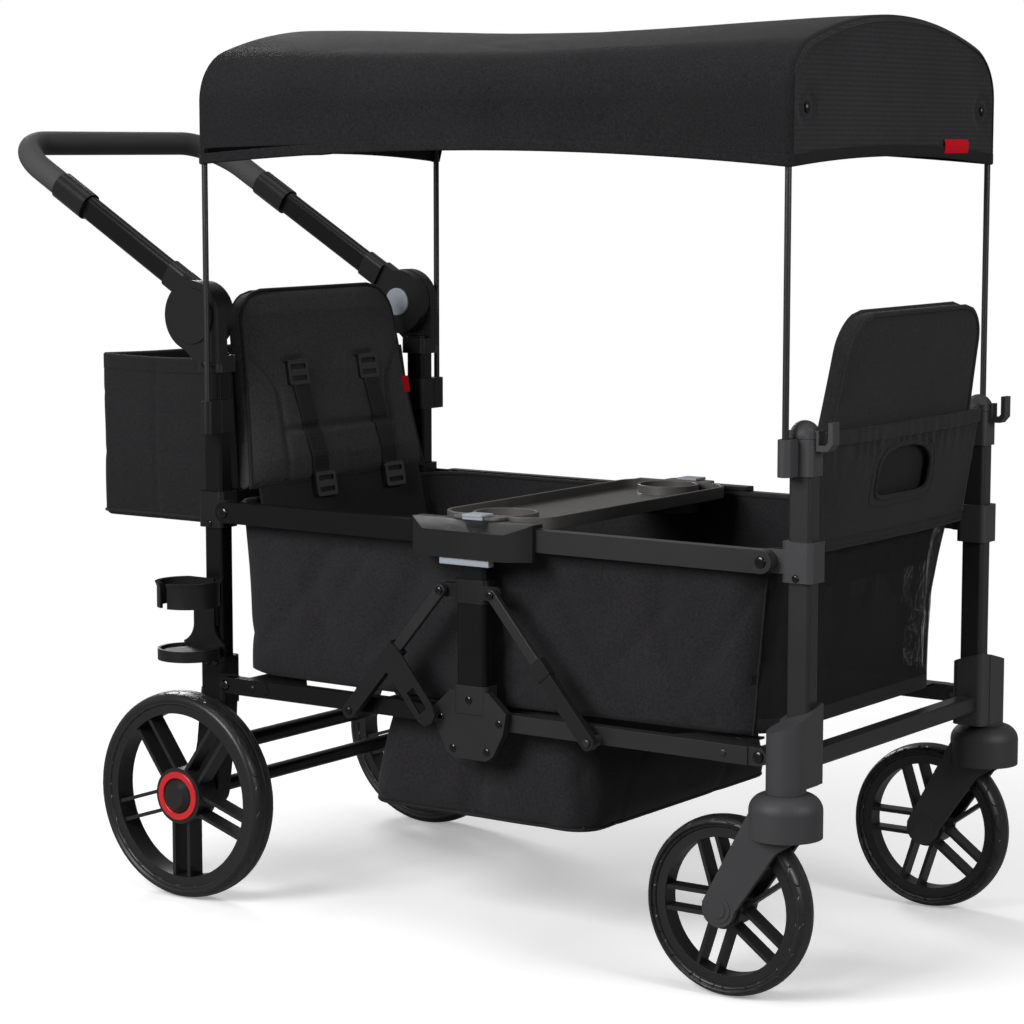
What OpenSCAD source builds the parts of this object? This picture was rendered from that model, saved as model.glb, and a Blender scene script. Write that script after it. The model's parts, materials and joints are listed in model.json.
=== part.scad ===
// Folding stroller wagon with a facing pair of seats, a canopy and a push handle.
// Millimetres, +Z up, +X to the caster end, origin on the floor under the middle.

/* [Frame] */
// Distance between the front and the rear posts
post_spacing = 900; // [840:1:980]
// Distance between the right and the left posts
post_gauge = 450; // [420:1:500]
// Post width along the wagon
post_w = 30; // [26:1:34]
// Post depth across the wagon
post_d = 25; // [22:1:28]
// Corner radius of the posts and rails
tube_corner = 5; // [3:0.5:7]
// Height of the top rail axis
top_rail_z = 525; // [490:1:560]
// Height of the base rail axis
base_rail_z = 293; // [280:1:310]
// Height of the top rail section
top_rail_h = 28; // [24:1:32]
// Height of the base rail section
base_rail_h = 22; // [20:1:26]
// Width of both rail sections
rail_d = 16; // [14:1:18]
// Gap between a rail and the lug beside it
lug_gap = 0.3; // [0.2:0.05:0.5]
// Thickness of the hinge lugs
lug_t = 6; // [5:0.5:7]
// Rail hinge distance from the post axis
hinge_in = 38; // [36:1:42]
// Rail hinge distance from the middle of the wagon
hinge_mid = 45; // [42:1:50]
// Hinge pin diameter
pin_d = 8; // [6:0.5:9]
// Radial clearance of the working pins
pin_clear = 0.05; // [0.02:0.01:0.1]
// Radial clearance of the pins that close the linkage
loop_clear = 0.4; // [0.3:0.05:0.6]
// Top of the front posts under the caps
front_post_top = 676; // [650:1:720]
// Wall of the moulded brackets round the posts
bracket_wall = 6; // [4:0.5:8]
// Clearance between parts of one rigid assembly
seat_gap = 0.15; // [0.1:0.05:0.25]

/* [Middle column] */
// Middle post width along the wagon
mid_w = 45; // [40:1:48]
// Half length of the latch body
latch_half = 92; // [86:1:100]
// Height of the latch body
latch_h = 46; // [44:1:50]
// Reach of the latch body past the rail
latch_out = 26; // [24:1:32]
// Height of the strut collar pivots
collar_z = 456; // [440:1:465]
// Strut pivot distance from the middle of the wagon
collar_ear = 39; // [38:1:44]
// Strut foot distance from the rail hinge
strut_foot = 139; // [120:1:150]
// Strut rod width
rod_w = 14; // [12:0.5:15]
// Strut rod thickness
rod_t = 8; // [7:0.5:9]
// Side play of the strut rod in its sleeve
rod_play = 1.7; // [1.6:0.1:3]
// Wall of the strut sleeve
sleeve_wall = 1.2; // [1.2:0.1:2]
// Strut rod length from its pivot
rod_len = 195; // [190:1:200]
// Strut sleeve length from its pivot
sleeve_len = 120; // [112:1:124]
// Strut pin diameter
strut_pin_d = 6; // [5:0.5:7]

/* [Handle] */
// Height of the handle hubs
hub_z = 783; // [760:1:810]
// Hub axis distance behind the post axis
hub_back = 28; // [24:1:32]
// Hub radius
hub_r = 47; // [42:1:50]
// Thickness of each hub half
hub_t = 17; // [15:0.5:20]
// Handle rise angle
handle_angle = 30.5; // [20:0.5:40]
// Handle reach from the hub axis to the grip axis
handle_reach = 424; // [380:1:450]
// Lift of the handle arms above the hub axis
arm_lift = 16; // [10:1:20]
// Handle arm height
arm_h = 34; // [28:1:38]
// Handle arm width
arm_d = 18; // [14:1:20]
// Handle tube diameter under the grip
bar_d = 24; // [20:1:26]
// Foam grip diameter
grip_d = 34; // [32:1:40]
// Bend radius of the handle corners
bend_r = 72; // [60:1:90]
// Length of the sleeves at the grip ends
sleeve_grip = 58; // [45:1:70]

/* [Wheels] */
// Rear wheel diameter
rear_d = 281; // [250:1:300]
// Rear tyre width
rear_w = 42; // [36:1:48]
// Rear wheel centre distance from the middle plane
rear_track = 274; // [270:1:290]
// Rear axle distance behind the post axis
axle_back = 20; // [10:1:30]
// Rear axle diameter in the wheels
axle_d = 12; // [10:0.5:14]
// Front wheel diameter
front_d = 220; // [200:1:226]
// Front tyre width
front_w = 36; // [30:1:38]
// Caster axis distance from the middle plane
caster_y = 260; // [258:1:275]
// Caster trail
trail = 75; // [65:1:80]
// Caster stem diameter
stem_d = 16; // [14:1:18]
// Thickness of the fork legs
fork_t = 8; // [7:0.5:10]
// Number of double spokes in each wheel
spokes = 5; // [4:1:7]
// Distance of each spoke from the middle line of its pair
spoke_gap = 13; // [9:0.5:16]
// Thickness of each spoke
spoke_t = 5; // [4:0.5:7]

/* [Canopy] */
// Canopy rod diameter
hoop_d = 8; // [6:0.5:9]
// Rod distance from the middle plane
hoop_y = 255; // [253:1:262]
// Rod distance from the post axis towards the middle
hoop_in = 9; // [4:1:10]
// Height of the rod arch
hoop_top = 1158; // [1110:1:1200]
// Radius of the roof arch
roof_r = 700; // [600:10:1200]
// Bend radius of the rod shoulders
shoulder_r = 64; // [45:1:80]
// Drop of the canopy hem below the rod arch
hem_drop = 173; // [150:1:215]
// Sag of the roof cloth between the rods
roof_sag = 12; // [0:1:20]
// Thickness of the canopy cloth
canopy_t = 2.5; // [2:0.5:4]

/* [Tub and seats] */
// Distance of the tub rim from the post axes
tub_gap = 25; // [24:1:40]
// Corner radius of the tub
tub_corner = 64; // [50:1:85]
// Thickness of the tub cloth
tub_t = 3; // [2.5:0.5:4]
// Height of the tub floor
tub_floor_z = 308; // [306:1:316]
// Half length of the tub at the floor
tub_floor_len = 415; // [390:1:416]
// Shift of the tub floor to the rear, which leans the front wall
floor_shift = 9; // [0:1:9]
// Half width of the tub at the floor
tub_floor_half = 228; // [215:1:232]
// Height of the bottom of the footwell
well_z = 160; // [145:1:180]
// Half length of the footwell at its bottom
well_half = 171; // [150:1:185]
// Distance of the footwell behind the middle of the wagon
well_back = 25; // [0:1:35]
// Depth of the folds in the hanging cloth
fold_depth = 3; // [1:0.5:4]
// Thickness of the seat floor boards
board_t = 8; // [6:1:10]
// Half width of the seat floor boards
board_half = 198; // [180:1:204]
// Height of the top of the seat backs
seat_top = 809; // [780:1:840]
// Height of the foot of the seat backs
seat_foot = 548; // [545:1:560]
// Reach of the seat cloth into the tub below the foot
seat_tail = 78; // [40:1:90]
// Half width of the seat backs at the foot
seat_half_foot = 193; // [170:1:200]
// Half width of the seat backs at the top
seat_half_top = 165; // [140:1:175]
// Recline of the seat backs
seat_lean = 9.5; // [6:0.5:12]
// Thickness of the seat backs at the rim
seat_t = 20; // [16:1:26]
// Crown of the seat backs
seat_crown = 8; // [4:1:12]
// Width of the harness webbing
strap_w = 34; // [20:1:40]

/* [Tray and cup holder] */
// Half length of the tray across the wagon
tray_half = 236; // [220:1:238]
// Half width of the tray along the wagon
tray_half_w = 82; // [60:1:90]
// Inner diameter of the tray cups
tray_cup_d = 76; // [70:1:80]
// Depth of the tray cups
tray_cup_depth = 34; // [28:1:50]
// Inner diameter of the side cup holder
cup_d = 76; // [70:1:78]
// Height of the side cup holder
cup_h = 105; // [90:1:120]
// Top of the side cup holder
cup_top = 432; // [400:1:450]

/* [Rear bag] */
// Depth of the bag behind the posts
bag_depth = 202; // [150:1:215]
// Height of the bag
bag_h = 225; // [200:1:240]
// Half width of the bag
bag_half = 196; // [170:1:197]
// Wall of the bag
bag_t = 4; // [3:0.5:6]

/* [Hidden] */
$fn = 48;

// Lengths that bound the wagon, and the middle that centres it on the origin
hook_reach = 26;
rear_reach = post_spacing / 2 + hub_back + handle_reach * cos(handle_angle)
    - arm_lift * sin(handle_angle) + grip_d / 2;
front_reach = post_spacing / 2 + post_w / 2 + hook_reach;
mid_x = (rear_reach - front_reach) / 2;
rear_x = mid_x - post_spacing / 2;
front_x = mid_x + post_spacing / 2;
post_y = post_gauge / 2;

// Planes of the side frames, from the posts outwards
post_in = post_y - post_d / 2;
post_out = post_y + post_d / 2;
lug_in = post_out + 0.2;
lug_out = lug_in + lug_t;
rail_in = lug_out + lug_gap;
rail_out = rail_in + rail_d;
rail_y = (rail_in + rail_out) / 2;
plate_in = rail_out + lug_gap;
latch_outer = plate_in + latch_out;
rear_hinge_x = rear_x + hinge_in;
front_hinge_x = front_x - hinge_in;
rail_len = post_spacing / 2 - hinge_in - hinge_mid;
lug_r = top_rail_h / 2;
base_r = base_rail_h / 2;

// Middle column and struts
mid_d = 25;
latch_rise = 20;
latch_button_half = 38;
mid_in = rail_in + 1.5;
mid_y = mid_in + mid_d / 2;
mid_out = mid_in + mid_d;
mid_bottom = base_rail_z + 19;
latch_bottom = top_rail_z + latch_rise - latch_h;
latch_top = latch_bottom + latch_h;
latch_roof = 5;
bracket_t = 11.2;
collar_h = 30;
collar_wall = 2.5;
ear_r = 9;
ear_out = mid_out + 1.2;
ear_t = 8;
rod_in = ear_out + lug_gap + sleeve_wall + 0.3;
rod_out = rod_in + rod_t;
sleeve_in = rod_in - 0.3 - sleeve_wall;
sleeve_out = rod_out + 0.3 + sleeve_wall;
sleeve_half = rod_w / 2 + rod_play + sleeve_wall;
foot_drop = 6;
foot_x = hinge_mid + strut_foot;
strut_dx = foot_x - collar_ear;
strut_dz = collar_z - base_rail_z + foot_drop;
strut_angle = atan2(strut_dx, strut_dz);
hook_t = 3;
hook_w = 34;
hook_len = 104;

// Handle
hub_x = rear_x - hub_back;
hub_in = post_y + 1.3;
hub_out = hub_in + hub_t;
knuckle_out = hub_in - 0.4;
knuckle_in = knuckle_out - hub_t;
arm_y = (knuckle_in + knuckle_out) / 2 - 3;
socket_h = 22;
socket_bottom = hub_z - hub_r - socket_h - 5;
pivot_r = 12;
pivot_len = 10;
button_r = 20;
button_depth = 7;
button_rise = 3;

// Wheels
axle_x = rear_x - axle_back;
axle_z = rear_d / 2;
arm_in = post_in + 1.5;
arm_out = post_out + 2.5;
axle_tube_d = 20;
cross_d = axle_tube_d + 2;
tube_z = axle_z + 60;
front_axle_x = front_x - trail;
front_axle_z = front_d / 2;
fork_gap = 2.5;
hood_r = 44;
shoe_t = 1.6;
hood_round = 20;
hood_h = 52;
hood_top = base_rail_z - 38.3;
housing_r = 24;
tyre_rear_t = 17;
tyre_front_t = 14;
fit = 0.15;
ring_in = 24;
ring_out = 33;

// Canopy
rear_hoop_x = rear_x + hoop_in;
front_hoop_x = front_x - hoop_in;
arch_angle = asin((hoop_y - shoulder_r) / (roof_r - shoulder_r));
arch_z = hoop_top - roof_r;
hem_z = hoop_top - hem_drop;
shoulder_z = arch_z + (roof_r - shoulder_r) * cos(arch_angle);
clip_bottom = front_post_top - 48;
clip_h = 44;
socket_r = 9;
cap_bottom = clip_bottom - 2 + clip_h + 0.3;

// Tub
tub_half = post_spacing / 2 - tub_gap;
well_x = mid_x - well_back;
// Seats
pad_turn = seat_crown + seat_t;
rear_pad_x = rear_x + 11;
front_pad_x = front_x - 11;
panel_t = 2.5;
panel_half = post_in - bracket_wall - 0.3;

// Tray
tray_top = latch_top + 4;
tray_plate = 16;
tray_dish = 12;
tray_edge = 5;
lip_in = tray_half - 4;
lip_out = rail_out + 2;
lip_half = 35;
cup_y = tray_half - tray_cup_d / 2 - 6;

// Side cup holder
cup_wall = 4;
cup_band = 34;
cup_base = 15;
cup_notch = 14;
cup_x = rear_x - 11;
cup_centre = post_out + 38;
cup_flat = post_out + 3.5;

// Rear bag
bag_top = 722;
bag_front = rear_x - post_w / 2 - 20;

// Shared shapes

// Both sides of a mirrored pair, drawn for the left side
module pair() {
    children();
    mirror([0, 1, 0]) children();
}

// Right side copy of a left side shape
module right() {
    mirror([0, 1, 0]) children();
}

// Front copy of a rear shape, mirrored about the middle
module at_front() {
    translate([2 * mid_x, 0, 0]) mirror([1, 0, 0]) children();
}

// Rounded rectangle
module round_rect(w, d, r) {
    square([w - 2 * r, d], center = true);
    square([w, d - 2 * r], center = true);
    for (x = [-1, 1], y = [-1, 1])
        translate([x * (w / 2 - r), y * (d / 2 - r)]) circle(r);
}

// Rounded bar standing on z = 0
module bar(w, d, h, r = tube_corner) {
    linear_extrude(h) round_rect(w, d, r);
}

// Outline in X and Z, extruded between two Y planes
module slab(y0, y1) {
    translate([0, y1, 0]) rotate([90, 0, 0]) linear_extrude(y1 - y0) children();
}

// Round pin along Y between two planes
module pin_y(x, z, d, y0, y1) {
    translate([x, y0, z]) rotate([-90, 0, 0]) cylinder(d = d, h = y1 - y0);
}

// Dome headed screw on a face at y, pointing outwards
module screw_head(x, z, y, d = 9, h = 2.6) {
    translate([x, y, z]) rotate([-90, 0, 0]) {
        cylinder(d = d, h = h * 0.5);
        translate([0, 0, h * 0.5]) cylinder(d1 = d, d2 = d * 0.55, h = h * 0.5);
    }
}

// Solid through rings of points that run anticlockwise seen from the last ring
module loft(rings) {
    n = len(rings[0]);
    m = len(rings);
    sides = [
        for (i = [0 : m - 2], j = [0 : n - 1])
            let (a = i * n + j, b = i * n + (j + 1) % n)
            each [[b, a, b + n], [b + n, a, a + n]]
    ];
    first = [for (j = [0 : n - 1]) j];
    last = [for (j = [0 : n - 1]) m * n - 1 - j];
    polyhedron([for (r = rings) each r], concat([first], sides, [last]), convexity = 8);
}

// Rear frame

module rear_posts() {
    color([0.09, 0.09, 0.1])
        pair() translate([rear_x, post_y, base_rail_z - 25])
            bar(post_w, post_d, socket_bottom + 25 - (base_rail_z - 25));
}

// Pocket for a post inside a moulding
module post_pocket(x, z0, z1) {
    translate([x, post_y, z0])
        bar(post_w + 2 * seat_gap, post_d + 2 * seat_gap, z1 - z0, tube_corner + seat_gap);
}

// Hinge lug reaching from a post to a rail pivot, for the rear posts
module lug(z, r) {
    slab(lug_in, lug_out) {
        translate([rear_hinge_x, z]) circle(r);
        translate([rear_x - post_w / 2, z - r]) square([hinge_in + post_w / 2, 2 * r]);
    }
}

// Clamp at the top rail, with its lug, for a rear post
module rail_clamp() {
    difference() {
        union() {
            translate([rear_x, post_y, top_rail_z - 24])
                bar(post_w + 2 * bracket_wall, post_d + 2 * bracket_wall, 48, 8);
            lug(top_rail_z, lug_r);
        }
        post_pocket(rear_x, top_rail_z - 40, top_rail_z + 40);
        pin_y(rear_hinge_x, top_rail_z, pin_d + 2 * pin_clear, lug_in - 9, lug_out + 9);
        translate([rear_hinge_x - lug_r - 3, lug_out, top_rail_z - 30]) cube([60, 20, 60]);
        translate([rear_x + post_w / 2 + bracket_wall + 0.1, post_in - 20, top_rail_z - 30])
            cube([40, lug_in - post_in + 20, 60]);
    }
}

// Bracket at the foot of a rear post, with the arm to the axle
module foot_bracket() {
    block_z = base_rail_z - 31;
    difference() {
        union() {
            translate([rear_x, post_y, block_z])
                bar(post_w + 2 * bracket_wall, post_d + 2 * bracket_wall, 64, 8);
            lug(base_rail_z, lug_r - 2);
            slab(arm_in, arm_out) {
                polygon([
                    [rear_x - 21, block_z + 20], [rear_x + 21, block_z + 20],
                    [rear_x + 19, block_z - 20], [axle_x + 25, axle_z],
                    [axle_x - 25, axle_z], [rear_x - 30, tube_z + 5]
                ]);
                translate([axle_x, axle_z]) circle(25);
            }
        }
        post_pocket(rear_x, base_rail_z - 25 - seat_gap, base_rail_z + 60);
        pin_y(rear_hinge_x, base_rail_z, pin_d + 2 * pin_clear, lug_in - 9, lug_out + 9);
        pin_y(axle_x, axle_z, axle_tube_d + 2 * seat_gap, arm_in - 9, arm_out + 9);
        translate([rear_hinge_x - lug_r - 3, lug_out, block_z - 9]) cube([60, 20, 90]);
        translate([rear_x + post_w / 2 + bracket_wall + 0.1, post_in - 20, block_z - 9])
            cube([40, lug_in - post_in + 20, 90]);
    }
}

module rear_brackets() {
    color([0.1, 0.1, 0.11]) pair() {
        rail_clamp();
        foot_bracket();
    }
}

// Cross tube and axle between the rear brackets
module rear_cross_tubes() {
    shoulder = rear_track - rear_w / 2 - 3.3;
    color([0.08, 0.08, 0.09]) {
        pin_y(rear_x, tube_z, cross_d, -arm_in + seat_gap, arm_in - seat_gap);
        pin_y(axle_x, axle_z, axle_tube_d, -shoulder, shoulder);
        pin_y(axle_x, axle_z, axle_d, -rear_track - 12, rear_track + 12);
    }
}

// Outer hub half with its post socket and the pivot boss
module post_hub() {
    half_w = post_w / 2 + bracket_wall;
    difference() {
        union() {
            translate([rear_x, post_y, socket_bottom])
                bar(2 * half_w, post_d + 2 * bracket_wall, socket_h, 8);
            slab(hub_in, hub_out) {
                translate([hub_x, hub_z]) circle(hub_r, $fn = 96);
                polygon([
                    [rear_x - half_w, socket_bottom + 12], [rear_x + half_w, socket_bottom + 12],
                    [hub_x + hub_r, hub_z], [hub_x, hub_z], [hub_x - hub_r * 0.88, hub_z - hub_r * 0.47]
                ]);
            }
            pin_y(hub_x, hub_z, 2 * pivot_r, hub_in - pivot_len, hub_in + 1);
            pin_y(hub_x, hub_z, 2 * hub_r - 20, hub_out - 1, hub_out + 3);
        }
        post_pocket(rear_x, socket_bottom - 9, socket_bottom + 25 + seat_gap);
    }
}

module handle_hubs() {
    color([0.11, 0.11, 0.12]) pair() post_hub();
}

// Collar with a rod socket, for a rear post
module rod_clip() {
    difference() {
        union() {
            translate([rear_x, post_y, clip_bottom])
                bar(post_w + bracket_wall, post_d + bracket_wall, clip_h, 6);
            translate([rear_hoop_x, hoop_y, clip_bottom]) cylinder(r = socket_r, h = clip_h);
            translate([rear_hoop_x - socket_r, post_out, clip_bottom])
                cube([2 * socket_r, hoop_y - post_out, clip_h]);
        }
        post_pocket(rear_x, clip_bottom - 9, clip_bottom + clip_h + 9);
        translate([rear_hoop_x, hoop_y, clip_bottom + 8])
            cylinder(d = hoop_d + 2 * seat_gap, h = clip_h);
    }
}

module rear_rod_clips() {
    color([0.1, 0.1, 0.11]) pair() rod_clip();
}

// Canopy rod: places along its middle line with their directions, from foot to foot
hoop_sides = 12;
hoop_foot = clip_bottom + 8 + seat_gap;
function shoulder_stop(side, a) = [
    side * (hoop_y - shoulder_r) - shoulder_r * sin(a), shoulder_z + shoulder_r * cos(a), a
];
hoop_route = concat(
    [[-hoop_y, hoop_foot, 90]],
    [for (i = [0 : 4]) shoulder_stop(-1, 90 - (90 - arch_angle) * i / 4)],
    [for (i = [1 : 9]) let (a = arch_angle * (1 - i / 5))
        [-roof_r * sin(a), arch_z + roof_r * cos(a), a]],
    [for (i = [0 : 4]) shoulder_stop(1, -arch_angle - (90 - arch_angle) * i / 4)],
    [[hoop_y, hoop_foot, -90]]
);
function hoop_ring(stop) = [
    for (j = [0 : hoop_sides - 1])
        let (b = 360 * j / hoop_sides, r = hoop_d / 2)
        [r * sin(b), stop[0] - r * cos(b) * sin(stop[2]), stop[1] + r * cos(b) * cos(stop[2])]
];

module hoop(x) {
    translate([x, 0, 0]) loft([for (stop = hoop_route) hoop_ring(stop)]);
}

module rear_hoop() {
    color([0.1, 0.1, 0.1]) hoop(rear_hoop_x);
}

// Half width of a seat back at the height share t, with rounded top corners
corner = 46;
function pad_len() = (seat_top - seat_foot) / cos(seat_lean);
function pad_half(t) =
    let (
        straight = seat_half_foot + (seat_half_top - seat_half_foot) * t,
        drawn = 5 * sin(180 * t),
        over = max(0, t * pad_len() - (pad_len() - corner))
    )
    straight - drawn - (corner - sqrt(max(0, corner * corner - over * over)));

// Height of the pad face over its rim, with the sewn channels
function groove(d, w) = exp(-d * d / (w * w));
function pad_rise(s, t) =
    let (
        edge = (1 - pow(abs(s), 4)) * min(1, sin(180 * (0.03 + 0.94 * t)) * 1.6),
        side = groove(abs(s) - 0.64, 0.055),
        low = groove(t - 0.3, 0.02)
    )
    seat_crown * edge - 4 * edge * max(side, low);

// Seat back with its face to +X and its rear face on x = 0, before it leans
pad_rows = 22;
pad_cols = 26;
function pad_ring(t) =
    let (h = pad_half(t), z = t * pad_len(), e = 4 * (1 - min(1, 12 * min(t, 1 - t) + 0.25)))
    concat(
        [for (i = [0 : pad_cols])
            let (s = -1 + 2 * i / pad_cols, r = abs(s) == 1 ? -3 : 0)
            [seat_t - e + r + pad_rise(s, t), s * h, z]],
        [[e, h - 3, z], [e, -h + 3, z]]
    );

// Place of the rear seat back, used by everything that follows its face
module rear_pad_place() {
    translate([rear_pad_x, 0, seat_foot]) rotate([0, -seat_lean, 0]) children();
}

// Cloth below the foot, tucked in along the tub wall
tail_x = 17.5;
tail_t = 2.5;
function tail_ring(z) =
    let (h = pad_half(0) - 28)
    concat(
        [for (i = [0 : pad_cols])
            let (s = -1 + 2 * i / pad_cols, r = abs(s) == 1 ? -1 : 0)
            [tail_x + tail_t + r, s * h, z]],
        [[tail_x, h - 3, z], [tail_x, -h + 3, z]]
    );

module seat_back() {
    rear_pad_place() loft(concat(
        [tail_ring(-seat_tail), tail_ring(-7)],
        [for (i = [0 : pad_rows]) pad_ring(i / pad_rows)]
    ));
}

module rear_seat_back() {
    color([0.08, 0.08, 0.09]) seat_back();
}

// One shoulder strap following the seat face, from its slot to its loose end
strap_rows = 16;
strap_t = 1.6;
strap_y = 78;
strap_drift = 40;
strap_low = -0.1;
strap_high = 0.62;
function strap_middle(side, t) =
    side * strap_y - strap_drift * 0.1
        + strap_drift * (strap_high - t) / (strap_high - strap_low);
function strap_bed(s, t) =
    max([for (i = [-2 : 2], j = [-1 : 1]) pad_rise(s + 0.04 * i, max(0, t + 0.025 * j))]);
function strap_point(side, k, t, lift) =
    let (y = strap_middle(side, t), s = min(0.9, abs(y) / pad_half(max(0, t))))
    [seat_t + strap_bed(s, t) + 0.9 + lift, y + k * strap_w / 2, t * pad_len()];
function strap_ring(side, t) = [
    strap_point(side, 1, t, 0), strap_point(side, -1, t, 0),
    strap_point(side, -1, t, strap_t), strap_point(side, 1, t, strap_t)
];

module harness_straps() {
    color([0.05, 0.05, 0.05]) rear_pad_place() for (side = [-1, 1])
        loft([for (i = [0 : strap_rows])
            strap_ring(side, strap_low + (strap_high - strap_low) * i / strap_rows)]);
}

// Plastic slide adjusters on the straps, each clear of the webbing below it
function adjuster_face(side, t) =
    max([for (i = [-4 : 4]) strap_point(side, 0, t + i * 0.018, strap_t)[0]]) + 0.3;
module harness_adjusters() {
    color([0.06, 0.06, 0.06]) rear_pad_place() for (side = [-1, 1], t = [-0.03, 0.56])
        translate([adjuster_face(side, t), strap_middle(side, t), t * pad_len()]) rotate([0, 90, 0])
            difference() {
                bar(34, strap_w + 9, 5, 4);
                for (x = [-8, 8]) translate([x, 0, -1]) bar(7, strap_w - 2, 9, 2);
            }
}

// Organiser bag, open at the top, on the panel that stretches between the posts
module rear_bag() {
    lean_x = rear_pad_x - 0.3 / cos(seat_lean);
    foot_z = bag_top - bag_h;
    color([0.07, 0.07, 0.08]) {
        difference() {
            translate([bag_front - bag_depth, -bag_half, foot_z])
                cube([bag_depth, 2 * bag_half, bag_h]);
            translate([bag_front - bag_depth + bag_t, -bag_half + bag_t, foot_z + bag_t])
                cube([bag_depth - 2 * bag_t, 2 * (bag_half - bag_t), bag_h]);
        }
        slab(-panel_half, panel_half) {
            dz = bag_top - 6 - seat_foot;
            dx = dz * tan(seat_lean);
            polygon([
                [lean_x - panel_t, seat_foot], [lean_x, seat_foot],
                [lean_x - dx, seat_foot + dz], [lean_x - dx - panel_t, seat_foot + dz]
            ]);
            polygon([
                [lean_x - dx - panel_t, bag_top - 6], [lean_x - dx, bag_top - 6],
                [lean_x - dx - 6 * tan(seat_lean), bag_top], [bag_front - 1, bag_top],
                [bag_front - 1, bag_top - 6]
            ]);
        }
    }
}

// Clip-on cup holder beside the right rear post
module cup_holder() {
    r = cup_d / 2;
    base = cup_top - cup_h;
    color([0.09, 0.09, 0.1]) right() difference() {
        union() {
            translate([cup_x, cup_centre, base]) difference() {
                cylinder(r = r + cup_wall, h = cup_base);
                translate([0, 0, cup_base - 4]) cylinder(r = r, h = 9);
            }
            translate([cup_x, cup_centre, cup_top - cup_band]) difference() {
                union() {
                    cylinder(r = r + cup_wall, h = cup_band);
                    translate([0, 0, cup_band - 6])
                        cylinder(r1 = r + cup_wall, r2 = r + cup_wall + 2.5, h = 6);
                }
                translate([0, 0, -1]) cylinder(r = r, h = cup_band + 9);
                rotate(101) translate([r - 9, -cup_notch / 2, -1]) cube([30, cup_notch, cup_band + 9]);
            }
            slab(cup_flat, cup_flat + cup_wall) translate([cup_x, base]) difference() {
                translate([-36, 0]) square([72, cup_h]);
                for (s = [-1, 1]) translate([s * 46, cup_base + 28]) circle(28);
                for (s = [-1, 1]) translate([s * 30 - 12, cup_base + 28]) square([24, cup_h]);
            }
            translate([rear_x - 10, post_out + seat_gap, cup_top - 64])
                cube([20, cup_flat - post_out, 40]);
        }
        translate([cup_x - 90, post_out - 60, base - 9])
            cube([180, 60 + seat_gap, cup_h + 30]);
        translate([cup_x - 90, post_out - 1, base - 9])
            cube([80 + rear_x - cup_x, cup_flat - post_out + 1, cup_h + 30]);
        translate([rear_x + 10, post_out - 1, base - 9])
            cube([80, cup_flat - post_out + 1, cup_h + 30]);
    }
}

// Hinge pins and screws of the rear frame
module rear_fasteners() {
    color([0.2, 0.2, 0.21]) pair() {
        for (z = [top_rail_z, base_rail_z]) {
            pin_y(rear_hinge_x, z, pin_d, lug_in, rail_out + lug_gap);
            screw_head(rear_hinge_x, z, rail_out + lug_gap, 14, 3);
        }
        screw_head(rear_x, top_rail_z - 18.5, post_out + bracket_wall);
        for (x = [-7, 7]) {
            screw_head(rear_x + x, socket_bottom + 10, post_out + bracket_wall);
            screw_head(rear_x + x, base_rail_z + 25, post_out + bracket_wall);
        }
    }
}

// Cloth tub with its footwell

// Ring of a rounded box whose sides bow out a little, with folds along them
side_n = 9;
end_n = 5;
arc_n = 3;
bow = 2;
function box_edge(hx, hy, r) = concat(
    [for (i = [0 : side_n - 1]) [-hx + r + 2 * (hx - r) * i / side_n, -hy, 1]],
    [for (i = [0 : arc_n - 1]) let (a = -90 + 90 * i / arc_n)
        [hx - r + r * cos(a), -hy + r + r * sin(a), 0]],
    [for (i = [0 : end_n - 1]) [hx, -hy + r + 2 * (hy - r) * i / end_n, 0]],
    [for (i = [0 : arc_n - 1]) let (a = 90 * i / arc_n)
        [hx - r + r * cos(a), hy - r + r * sin(a), 0]],
    [for (i = [0 : side_n - 1]) [hx - r - 2 * (hx - r) * i / side_n, hy, -1]],
    [for (i = [0 : arc_n - 1]) let (a = 90 + 90 * i / arc_n)
        [-hx + r + r * cos(a), hy - r + r * sin(a), 0]],
    [for (i = [0 : end_n - 1]) [-hx, hy - r - 2 * (hy - r) * i / end_n, 0]],
    [for (i = [0 : arc_n - 1]) let (a = 180 + 90 * i / arc_n)
        [-hx + r + r * cos(a), -hy + r + r * sin(a), 0]]
);
function cloth_ring(x, hx, hy, r, z, fold) = [
    for (p = box_edge(hx - bow, hy - bow, r))
        let (wave = p[2] * fold * pow(sin(p[0] * 1.7 + z * 0.6), 2))
        [x + p[0] * (1 + bow / hx * cos(90 * p[1] / hy)),
            p[1] * (1 + bow / hy * cos(90 * p[0] / hx)) + wave, z]
];

rim_z = top_rail_z + 9;
rim_half = rail_in - 0.35;
tub_rows = 6;
function tub_ring(t, inset, z) =
    let (
        hy = tub_floor_half + (rim_half - tub_floor_half) * pow(t, 0.7),
        hx = tub_floor_len + (tub_half - tub_floor_len) * t,
        fold = fold_depth * sin(180 * t)
    )
    cloth_ring(mid_x - floor_shift * (1 - t), hx - inset, hy - inset, tub_corner - inset, z, fold);
function tub_rings(inset, lift, rise) = [
    for (i = [0 : tub_rows])
        let (t = i / tub_rows, z0 = tub_floor_z + lift)
        tub_ring(t, inset, z0 + (rim_z + rise - z0) * t)
];

// Share of the footwell's swelling at its height share t
function well_rings(inset, z0, z1) = [
    for (i = [0 : 4])
        let (t = i / 4, belly = sin(180 * pow(t, 0.6)))
        cloth_ring(
            well_x, well_half - 26 * t + 4 * belly - inset,
            rail_in - 19 - 18 * t + 5 * belly - inset,
            40 - inset, z0 + (z1 - z0) * t, 2 * belly)
];

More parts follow.
